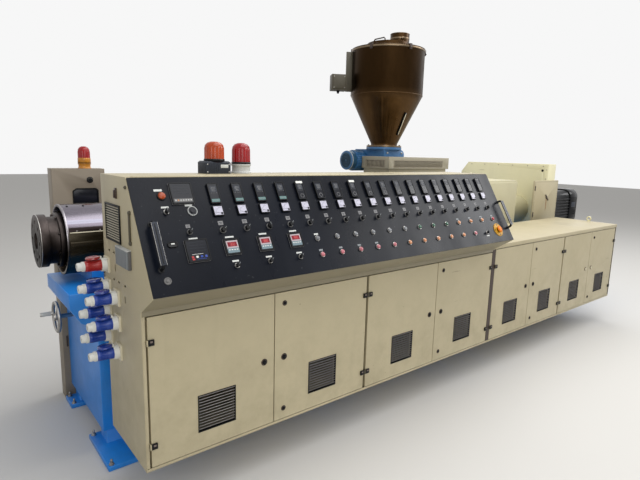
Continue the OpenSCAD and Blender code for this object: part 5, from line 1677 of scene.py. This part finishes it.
# %% [markdown]
# ## Hopper, lid and level sensor
# The hopper's shell and lid are dark bronzed sheet. Round forms add what a sheet-metal worker adds: a
# rolled rim, a weld bead between cylinder and cone, an upright seam, a bolted outlet flange, clamps
# on the lid and a hose clamp round the inlet stub. Radii and heights are read from the mesh.
# %% Hopper and lid
OUTLET_BOLTS = 8
LID_CLAMPS = 6
RIM_OUT = 0.003
for node in ("hopper", "hopper_lid"):
    dress(node, hopper_bronze, 0.001)
hopper_axis = (hopper_low + hopper_high) / 2
upright = at(hopper_axis.x, hopper_axis.y, 0)


def from_axis(point):
    """Distance of a point from the hopper's axis."""
    return hypot(point.x - hopper_axis.x, point.y - hopper_axis.y)


reach = [(from_axis(p), p.z) for p in node_corners("hopper")]
rim_r = max(r for r, z in reach)
shell_r = rim_r - RIM_OUT
cone_z = min(z for r, z in reach if abs(r - shell_r) < 0.0006)
outlet_r = max(r for r, z in reach if z < hopper_low.z + 0.001)
brim = hopper_high.z
hopper = Layers("machine")
hoop(hopper["rims"], upright, [
    (rim_r - 0.004, brim - 0.0155), (rim_r + 0.0012, brim - 0.0150), (rim_r + 0.0022, brim - 0.008),
    (rim_r + 0.0012, brim - 0.001), (rim_r - 0.004, brim - 0.0006)], 96)
hoop(hopper["seams"], upright, [
    (shell_r - 0.001, cone_z - 0.004), (shell_r + 0.0012, cone_z - 0.001),
    (shell_r + 0.0014, cone_z + 0.003), (shell_r - 0.001, cone_z + 0.006)], 96)
for degrees in (-60, 120):
    block(hopper["seams"], spun(upright, radians(degrees)), (shell_r - 0.001, shell_r + 0.0008),
          across(0.005), (cone_z, brim - 0.015))
hoop(hopper["flanges"], upright, band(outlet_r - 0.01, outlet_r + 0.001, hopper_low.z + 0.001,
                                      hopper_low.z + 0.0132), 64)
for along in spokes(upright, OUTLET_BOLTS):
    bolt(hopper["bolts"], shifted(along, outlet_r - 0.016, 0, hopper_low.z + 0.014), 0.007, 0.008)
for along in spokes(upright, LID_CLAMPS, 0.3):
    clamp = hopper["clamps"]
    block(clamp, along, (rim_r - 0.014, rim_r + 0.006), across(0.022), (brim + 0.004, brim + 0.0115))
    block(clamp, along, (rim_r + 0.0015, rim_r + 0.006), across(0.022), (brim - 0.03, brim + 0.006))
    turned(clamp, spun(shifted(along, rim_r + 0.006, 0, brim - 0.018), pi / 2, "Y"),
           [(0.006, -0.001), (0.006, 0.004), (0.004, 0.006), (0, 0.006)], 12)
lid_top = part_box("hopper_lid")[1].z
lid_points = node_corners("hopper_lid")
stub_box = box_of([p for p in lid_points if p.z > lid_top - 0.001])
collar_top = max(p.z for p in lid_points if p.z < lid_top - 0.01)
stub = at(middle(stub_box).x, middle(stub_box).y, 0)
stub_r = (stub_box[1].x - stub_box[0].x) / 2
hoop(hopper["rims"], stub, [(stub_r - 0.003, lid_top - 0.006), (stub_r + 0.0016, lid_top - 0.005),
                            (stub_r + 0.0016, lid_top - 0.002), (stub_r - 0.003, lid_top - 0.0004)], 48)
hoop(hopper["flanges"], stub, band(stub_r - 0.002, stub_r + 0.0014, lid_top - 0.046, lid_top - 0.034), 48)
block(hopper["flanges"], spun(stub, radians(-120)), (stub_r, stub_r + 0.011), across(0.024),
      (lid_top - 0.047, lid_top - 0.033))
handle = at(hopper_axis.x - 0.085, hopper_axis.y + 0.02, collar_top)
sweep(hopper["clamps"], [handle @ Vector((0, y, z)) for y, z in (
    (-0.06, -0.001), (-0.06, 0.026), (-0.05, 0.036), (0.05, 0.036), (0.06, 0.026), (0.06, -0.001))], 0.005)
hopper.publish("hopper", 0.0003, rims=rim_bronze, seams=hopper_bronze, flanges=rim_bronze, bolts=brown_iron,
               clamps=brown_iron)

# %% [markdown]
# The node beside the hopper holds two solids. Those corners nearer the axis than the shell belong to
# the sight glass on the cone, the others to the level sensor on its bracket. Each becomes a piece of
# its own, with the light bar of the glass and the sensor's cover drawn in a frame on its face.
# %% Level sensor and sight glass
SENSOR_BOX = 0.12


def hopper_fitting(near):
    """The solid of the node that lies near the axis, or the other one, and its corners."""
    mesh = merged("hopper_fittings")
    rest = [v for v in mesh.verts if (from_axis(v.co) < shell_r - 0.02) != near]
    bmesh.ops.delete(mesh, geom=rest, context="VERTS")
    corners = [v.co.copy() for v in mesh.verts]
    return mesh, corners, sum(corners, Vector()) / len(corners)


glass, corners, centre = hopper_fitting(True)
radial = Vector((centre.x - hopper_axis.x, centre.y - hopper_axis.y, 0)).normalized()
tangent = Vector((-radial.y, radial.x, 0))
flat = [p - tangent * (p - centre).dot(tangent) for p in corners]
lower = min(flat, key=lambda p: p.z)
upper = max(flat, key=lambda p: (p - centre).dot(radial))
glass_face = facing((lower + upper) / 2, tangent, upper - lower)
glass_length = (upper - lower).length
publish("sight_glass_frame", glass, black_plastic, "machine", 0.0015, "hopper_fittings")
sight = Layers("machine")
tag(sight["bars"], glass_face, 0, 0, 0.008, glass_length * 0.9, 0.0008)
for end in (-glass_length * 0.475, glass_length * 0.475):
    screw(sight["screws"], shifted(glass_face, 0, end), 0.0032, 0.0016)
sensor, corners, centre = hopper_fitting(False)
sensor_frame = spun(upright, atan2(centre.y - hopper_axis.y, centre.x - hopper_axis.x))
inverse = sensor_frame.inverted()
sensor_low, sensor_high = box_of([inverse @ p for p in corners])
publish("level_sensor_shape", sensor, olive_paint_and_gap_shade, "machine", 0.002)
cover_x = sensor_high.x - SENSOR_BOX / 2
outwards = sensor_frame.to_3x3() @ Vector((1, 0, 0))
cover_middle = sensor_frame @ Vector((cover_x, sensor_high.y, sensor_low.z + 0.065))
sensor_face = facing(cover_middle, -outwards, (0, 0, 1))
cover_edge = rounded(0.104, 0.104, 0.008, 4)
loft(sight["covers"], sensor_face, [(cover_edge, -0.0002), (cover_edge, 0.002),
                                    (rounded(0.098, 0.098, 0.007, 4), 0.004)])
corner_screws(sight["screws"], sensor_face, 0.042, 0.042, 0.0038, 0.004, 0.002)
gland = Matrix.Translation(sensor_frame @ Vector((cover_x, 0, sensor_low.z + 0.005)))
turned(sight["glands"], spun(gland, pi, "X"),
       [(0.013, -0.0003), (0.013, 0.008), (0.010, 0.01), (0.009, 0.022), (0, 0.022)], 18)
sight.publish("sight", 0.0002, bars=lock_cream, screws=bare_steel, covers=olive_paint_and_gap_shade, glands=black_plastic)

# %% [markdown]
# ## Feeder
# The feeder housing has a ventilation grille along its front and its left end: upright bars before a
# dark sheet that paints the shade in the openings. The blue gear unit carries a teal motor with cooling
# fins and a ringed fan cover.
# %% Feeder housing and its drive
GRILLE_DEPTH = 0.005
GRILLE_RIM = 0.004
RAIL_SCREWS = 9
MOTOR_FINS = 30
dress("feeder_housing", feeder_paint, 0.003)
dress("feeder_drive", drive_blue, 0.003)
feeder_low, feeder_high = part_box("feeder_housing")
feeder_points = node_corners("feeder_housing")
front_grille = box_of([p for p in feeder_points if abs(p.y - feeder_low.y - GRILLE_DEPTH) < 0.0008])
left_grille = box_of([p for p in feeder_points if abs(p.x - feeder_low.x - GRILLE_DEPTH) < 0.0008])
feeder = Layers("machine")
front_face = on_front(middle(front_grille).x, feeder_low.y, middle(front_grille).z)
left_face = on_left(feeder_low.x, middle(left_grille).y, middle(left_grille).z)
for face, wide, (low, high), bars in (
        (front_face, front_grille[1].x - front_grille[0].x, front_grille, 46),
        (left_face, left_grille[1].y - left_grille[0].y, left_grille, 14)):
    tall = high.z - low.z
    # A dark sheet at the back of the grille paints the shade in its openings.
    block(feeder["grille_backs"], face, across(wide), across(tall),
          (-GRILLE_DEPTH - 0.0004, 0.001 - GRILLE_DEPTH))
    pitch = wide / bars
    add_row(feeder["grille_bars"], bars, face.to_3x3() @ Vector((pitch, 0, 0)), feeder_paint, block, face,
            (pitch * 0.3 - wide / 2, pitch * 0.7 - wide / 2), across(tall), (-GRILLE_DEPTH, -0.0006))
    rim_of(feeder["grille_rims"], face, across(wide + 2 * GRILLE_RIM), across(tall + 2 * GRILLE_RIM),
           GRILLE_RIM, (-0.0003, 0.0012))
for k in range(RAIL_SCREWS):
    x = feeder_low.x + 0.04 + k * (feeder_high.x - feeder_low.x - 0.08) / (RAIL_SCREWS - 1)
    screw(feeder["screws"], on_front(x, feeder_low.y, feeder_high.z - 0.088), 0.0035, 0.002)
fan_box = end_box("feeder_drive", 0)
fan_r = (fan_box[1].y - fan_box[0].y) / 2
fan = on_left(fan_box[0].x, middle(fan_box).y, middle(fan_box).z)
turned(feeder["fan_covers"], fan, [(fan_r * 0.9, -0.058), (fan_r + 0.0015, -0.056), (fan_r + 0.0015, -0.006),
                                   (fan_r * 0.95, -0.0006), (fan_r * 0.7, 0.0012), (0, 0.0012)], 48)
hoop(feeder["fan_rims"], fan, [(fan_r, -0.012), (fan_r + 0.0032, -0.012), (fan_r + 0.0032, -0.007),
                               (fan_r, -0.006)], 48)
for share in (0.2, 0.36, 0.52, 0.68):
    hoop(feeder["fan_rings"], fan, band(fan_r * share - 0.0025, fan_r * share + 0.0025, 0.0008, 0.0024), 32)
for along in spokes(fan, MOTOR_FINS):
    block(feeder["motor_fins"], along, (fan_r + 0.003, fan_r + 0.0095), across(0.0026), (-0.258, -0.062))
gear_front = on_front(hopper_axis.x + 0.02, hopper_axis.y - 0.104, hopper_low.z - 0.045)
for x in (-0.085, 0.085):
    bolt(feeder["bolts"], shifted(gear_front, x, 0), 0.007, 0.007)
feeder.publish(
    "feeder", 0.0003, grille_backs=brown_iron, grille_bars=feeder_paint, grille_rims=dusty_paint,
    screws=bare_steel, fan_covers=motor_teal, fan_rims=(pale_grey_plastic, "instrument_grey"),
    fan_rings=rubber_black, motor_fins=motor_teal, bolts=bare_steel)

# %% [markdown]
# ## Gearbox cover, feed section and belt guard
# Large painted covers look right when their panels can be read: a thin dark line where a panel ends,
# a screw at each corner and midway, and a handle. One helper draws that on any face. The guard also
# has rows of screws along two edges, and in its hole a sunk black disc, which paints the hole's shade,
# inside a black rim.
# %% Helpers for covers
for node, finish, soften in (
        ("feed_throat", machine_paint, 0.003), ("gearbox_cover", machine_paint, 0.004),
        ("belt_guard", guard_paint, 0.004), ("terminal_box", cabinet_paint, 0.002),
        ("lifting_eye", guard_paint, 0.0)):
    dress(node, finish, soften)
JOINT_LINE = 0.0016
covers = Layers("machine")


def joint_line(spot, width, height):
    """The dark line round a panel that can be taken off."""
    rim_of(covers["joints"], spot, across(width), across(height), JOINT_LINE, (-0.0002, 0.0004))


def service_panel(spot, width, height, inset=0.02):
    """A removable panel drawn on a face: its joint line and its screws."""
    joint_line(spot, width, height)
    for sx in (-1, 0, 1):
        for sy in (-1, 1):
            screw(covers["screws"], shifted(spot, sx * (width / 2 - inset), sy * (height / 2 - inset)),
                  0.0042, 0.0024)


def grab(spot, length):
    """A small bow handle across a face."""
    half = length / 2
    points = ((-half, -0.0003), (-half, 0.022), (0.01 - half, 0.031), (half - 0.01, 0.031), (half, 0.022),
              (half, -0.0003))
    sweep(covers["handles"], [spot @ Vector((x, 0, z)) for x, z in points], 0.005)
    for end in (-half, half):
        turned(covers["handles"], shifted(spot, end, 0), [(0.009, -0.0003), (0.009, 0.002), (0, 0.002)], 16)


def eye_ring(mesh, foot, height, ring_r, rod_r):
    """A round ring of round rod that stands upright above its foot."""
    angles = [tau * j / 8 for j in range(8)]
    profile = [(ring_r + rod_r * cos(a), rod_r * sin(a)) for a in angles]
    hoop(mesh, spun(shifted(foot, 0, 0, height), pi / 2, "X"), profile, 28)


# %% [markdown]
# The gearbox cover has two panels with a handle and a lifting ring each, and a row of screws along
# its top edge. The feed section has one panel, and the belt guard has screws, a dark disc in its hole
# that paints the hole's shade, and one panel on the side that looks at the motor.
# %% Covers of the drive
RING_R = 0.022
RING_ROD = 0.006
TOP_SCREWS = 12
gear_low, gear_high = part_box("gearbox_cover")
gear_near = end_box("gearbox_cover", 1)
gear_size = gear_near[1] - gear_near[0]
for share in (0.25, 0.75):
    x = gear_near[0].x + gear_size.x * share
    panel_h = gear_size.z - 0.05
    spot = on_back(x, gear_high.y, middle(gear_near).z)
    service_panel(spot, gear_size.x / 2 - 0.03, panel_h)
    grab(shifted(spot, 0, panel_h * 0.32), 0.14)
    foot = at(x, barrel_axis.y, gear_high.z)
    turned(covers["rings"], foot, [(RING_R * 0.7, -0.0003), (RING_R * 0.7, 0.006), (RING_R * 0.4, 0.008),
                                   (0, 0.008)], 20)
    eye_ring(covers["rings"], foot, RING_R + RING_ROD + 0.005, RING_R, RING_ROD)
add_row(covers["screws"], TOP_SCREWS, ((gear_size.x - 0.09) / (TOP_SCREWS - 1), 0, 0), bare_steel,
        screw, at(gear_near[0].x + 0.04, gear_low.y + 0.022, gear_high.z), 0.0045, 0.0026)
feed_low, feed_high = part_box("feed_throat")
feed_middle = (feed_low + feed_high) / 2
service_panel(on_front(feed_middle.x + 0.015, feed_low.y + 0.03, feed_middle.z),
              feed_high.x - feed_low.x - 0.09, feed_high.z - feed_low.z - 0.08)
guard_low, guard_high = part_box("belt_guard")
guard_size = guard_high - guard_low
for count, step, y, z in (
        (6, (0, (guard_size.y - 0.2) / 5, 0), guard_low.y + 0.06, guard_high.z - 0.022),
        (8, (0, 0, (guard_size.z - 0.1) / 7), guard_low.y + 0.02, guard_low.z + 0.04)):
    add_row(covers["guard_screws"], count, step, hinge_pink, screw, on_left(guard_low.x, y, z), 0.0048, 0.003)
hole_box = box_of(node_corners("belt_guard", lambda p: 0.006 < p.x - guard_low.x < 0.01))
hole_r = (hole_box[1].y - hole_box[0].y) / 2
hole = on_left(guard_low.x, middle(hole_box).y, middle(hole_box).z)
# A black disc sunk in the hole paints its shade; a black rim rings the hole.
turned(covers["rods"], hole, [(hole_r * 0.97, -0.0084), (hole_r * 0.97, -0.004), (0, -0.004)], 24)
hoop(covers["rods"], hole, [(hole_r - 0.0006, -0.003), (hole_r + 0.003, -0.0003), (hole_r + 0.003, 0.001),
                            (hole_r, 0.001)], 24)
guard_middle = (guard_low + guard_high) / 2
service_panel(on_right(guard_high.x, guard_middle.y - 0.04, guard_middle.z + 0.22), guard_size.y - 0.26, 0.26)

# %% [markdown]
# The switch box in front of the guard has a door with two hinges and a T-shaped latch, which has
# rusted and left a streak below it.
# %% Switch box
LATCH_OUT = 0.008
DOOR_INSET = 0.012
face_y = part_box("terminal_box")[0].y + LATCH_OUT
latch_box = end_box("terminal_box", 1)
face_box = box_of(node_corners("terminal_box", lambda p: abs(p.y - face_y) < 0.001))
terminal_face = on_front(middle(face_box).x, face_y, middle(face_box).z)
face_w, face_h = face_box[1].x - face_box[0].x, face_box[1].z - face_box[0].z
joint_line(terminal_face, face_w - 2 * DOOR_INSET, face_h - 2 * DOOR_INSET)
for end in (-face_h * 0.32, face_h * 0.32):
    block(covers["latches"], terminal_face, (0.003 - face_w / 2, 0.016 - face_w / 2),
          (end - 0.025, end + 0.025), (-0.0003, 0.005))
latch = on_front(middle(latch_box).x, face_y, middle(latch_box).z)
turned(covers["latches"], latch, [(0.018, -0.0003), (0.018, 0.002), (0.0125, 0.003), (0.0122, 0.0078),
                                  (0, 0.0081)], 24)
block(covers["latches"], spun(latch, radians(-42)), across(0.088), across(0.013), (0.003, 0.0082))
prism(covers["streaks"], latch, [(-0.008, -0.125), (-0.001, -0.15), (0.004, -0.12), (0.01, -0.015),
                                 (-0.01, -0.015)], (-0.0002, 0.0003))

# %% [markdown]
# ## Panels of the cabinets' backs and roof
# The far sides are not in the photograph. They are finished the way such cabinets are: one screwed
# panel for each pair of doors, with a row of vent slots near its top, drawn as dark strips that paint
# the shade in the slots.
# %% Back panels
SLOTS = 12
BACK_PANELS = 2
ROOF_PANELS = 3
for low, high in node_parts("cabinet_backs"):
    width, tall = (high.x - low.x) / BACK_PANELS, high.z - low.z
    for k in range(BACK_PANELS):
        spot = on_back(low.x + width * (k + 0.5), high.y, (low.z + high.z) / 2)
        service_panel(spot, width - 0.06, tall - 0.06)
        # Dark strips paint the shade in the vent slots.
        add_row(covers["slots"], SLOTS, (-0.024, 0, 0), rubber_black, block,
                shifted(spot, -0.13, tall / 2 - 0.14), across(0.008), across(0.09), (-0.0002, 0.0005))
roof_low, roof_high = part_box("console_roof")
roof_z = max(box[0].z for box in node_parts("beacon_bases") if box[0].y < rear_y)
width = (roof_high.x - roof_low.x) / ROOF_PANELS
for k in range(1, ROOF_PANELS):
    spot = at(roof_low.x + width * (k + 0.5), (roof_low.y + roof_high.y) / 2 + 0.01, roof_z)
    service_panel(spot, width - 0.05, roof_high.y - roof_low.y - 0.07)
covers.publish(
    "cover", joints=brown_iron, screws=bare_steel, handles=black_plastic, rings=lock_cream,
    guard_screws=(hinge_pink, "bare_steel"), rods=black_plastic, latches=brown_iron, streaks=rust_mark,
    slots=rubber_black)

# %% [markdown]
# ## Main motor
# The motor's ribs come from the CAD. Added here are the bolts of its bells, a bare name plate with
# four rivets, slots in the cowl drawn as dark strips that paint the shade in them, and a lifting ring.
# %% Main motor
COWL_FROM_END = 0.135
BELL_FROM_END = 0.06
COWL_SLOTS = 11
dress("main_motor", motor_black, 0.002)
motor_low, motor_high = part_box("main_motor")
cap_box = end_box("main_motor", 0)
motor_z = middle(cap_box).z
bell_out = (cap_box[1].z - cap_box[0].z) / 2 * 0.84
motor = Layers("machine")
bell = on_left(motor_low.x + BELL_FROM_END, barrel_axis.y, motor_z)
for sx, sy in CORNERS:
    bolt(motor["bolts"], shifted(bell, sx * bell_out, sy * bell_out), 0.01, 0.009)
plate_spot = on_front(motor_high.x - COWL_FROM_END, motor_low.y, motor_z + 0.03)
tag(motor["plates"], plate_spot, 0, 0, 0.1, 0.06, 0.0012)
corner_screws(motor["plates"], plate_spot, 0.044, 0.024, 0.001, 0.0025, 0.0012)
# Dark strips paint the shade in the cowl's slots.
first_slot = on_front(motor_high.x - COWL_FROM_END - 0.06, motor_low.y, motor_z - 0.06)
add_row(motor["slots"], COWL_SLOTS, (0.012, 0, 0), rubber_black, block, first_slot, across(0.005),
        across(0.06), (-0.0003, 0.0006))
eye = at(motor_low.x + 0.11, barrel_axis.y, motor_high.z)
turned(motor["bolts"], eye, [(0.02, -0.0003), (0.02, 0.008), (0.01, 0.011), (0, 0.011)], 20)
eye_ring(motor["bolts"], eye, 0.038, 0.026, 0.007)
motor.publish("motor", bolts=bare_steel, plates=(dark_grey_plastic, "bare_steel"), slots=rubber_black)

# %% [markdown]
# ## Floor and light
# The floor is one pale slab that isn't part of the object. The world gives plain soft light, and
# the camera, mirrors and glass see it brighter than surfaces are lit by it, so that the background
# is pale and the object keeps its colours. Three soft lamps add direction.
# %% Floor, world and lamps
FLOOR_SIZE = 60.0
WORLD_STRENGTH = 0.46
BACKDROP = 0.93
floor_mesh = bmesh.new()
block(floor_mesh, Matrix(), across(FLOOR_SIZE), across(FLOOR_SIZE), (-0.02, 0.0))
floor_data = bpy.data.meshes.new("floor")
floor_mesh.to_mesh(floor_data)
floor_mesh.free()
floor_paint, _, floor_shader = new_finish("floor_pale", 0.8)
floor_shader.inputs["Base Color"].default_value = tint(206, 204, 200)
floor_data.materials.append(floor_paint)
new_object("floor", floor_data)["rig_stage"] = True

world = bpy.data.worlds.new("studio")
world.use_nodes = True
bpy.context.scene.world = world
sky = world.node_tree
sky.nodes.clear()
path = sky.nodes.new("ShaderNodeLightPath")
soft = add_node(sky, "Background", Color=(1, 1, 1, 1), Strength=WORLD_STRENGTH)
backdrop = add_node(sky, "Background", Color=(1, 1, 1, 1), Strength=BACKDROP)
either = sky.nodes.new("ShaderNodeMixShader")
output = sky.nodes.new("ShaderNodeOutputWorld")
either_ray = path.outputs["Is Camera Ray"]
for kind in ("Is Glossy Ray", "Is Transmission Ray"):
    summed = sky.nodes.new("ShaderNodeMath")
    summed.operation = "MAXIMUM"
    sky.links.new(either_ray, summed.inputs[0])
    sky.links.new(path.outputs[kind], summed.inputs[1])
    either_ray = summed.outputs[0]
sky.links.new(either_ray, either.inputs["Fac"])
sky.links.new(soft.outputs["Background"], either.inputs[1])
sky.links.new(backdrop.outputs["Background"], either.inputs[2])
sky.links.new(either.outputs["Shader"], output.inputs["Surface"])


def lamp(name, place, target, size, watts):
    """A rectangular soft lamp at place that faces target."""
    data = bpy.data.lights.new(name, "AREA")
    data.shape = "RECTANGLE"
    data.size, data.size_y = size
    data.energy = watts
    made = new_object(name, data)
    made.location = place
    made.rotation_euler = (Vector(target) - Vector(place)).to_track_quat("-Z", "Y").to_euler()


lamp("overhead", (0.5, -0.5, 5.5), (0, 0, 0), (9.0, 4.0), 320)
lamp("window_side", (7.2, -4.6, 5.6), (-0.6, -0.9, 1.2), (5.0, 3.6), 300)
lamp("operator_side", (-4.0, -5.5, 3.2), (0, 0, 0.9), (4.0, 3.0), 90)

# %% [markdown]
# ## The visual size, and finish
# %% Gather both boxes, print the visual size and finish
seen_low, seen_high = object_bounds()
boxes = {"cad": [list(cad_low), list(cad_high)], "visual": [list(seen_low), list(seen_high)]}
print("visual size:", [round(x, 3) for x in seen_high - seen_low])
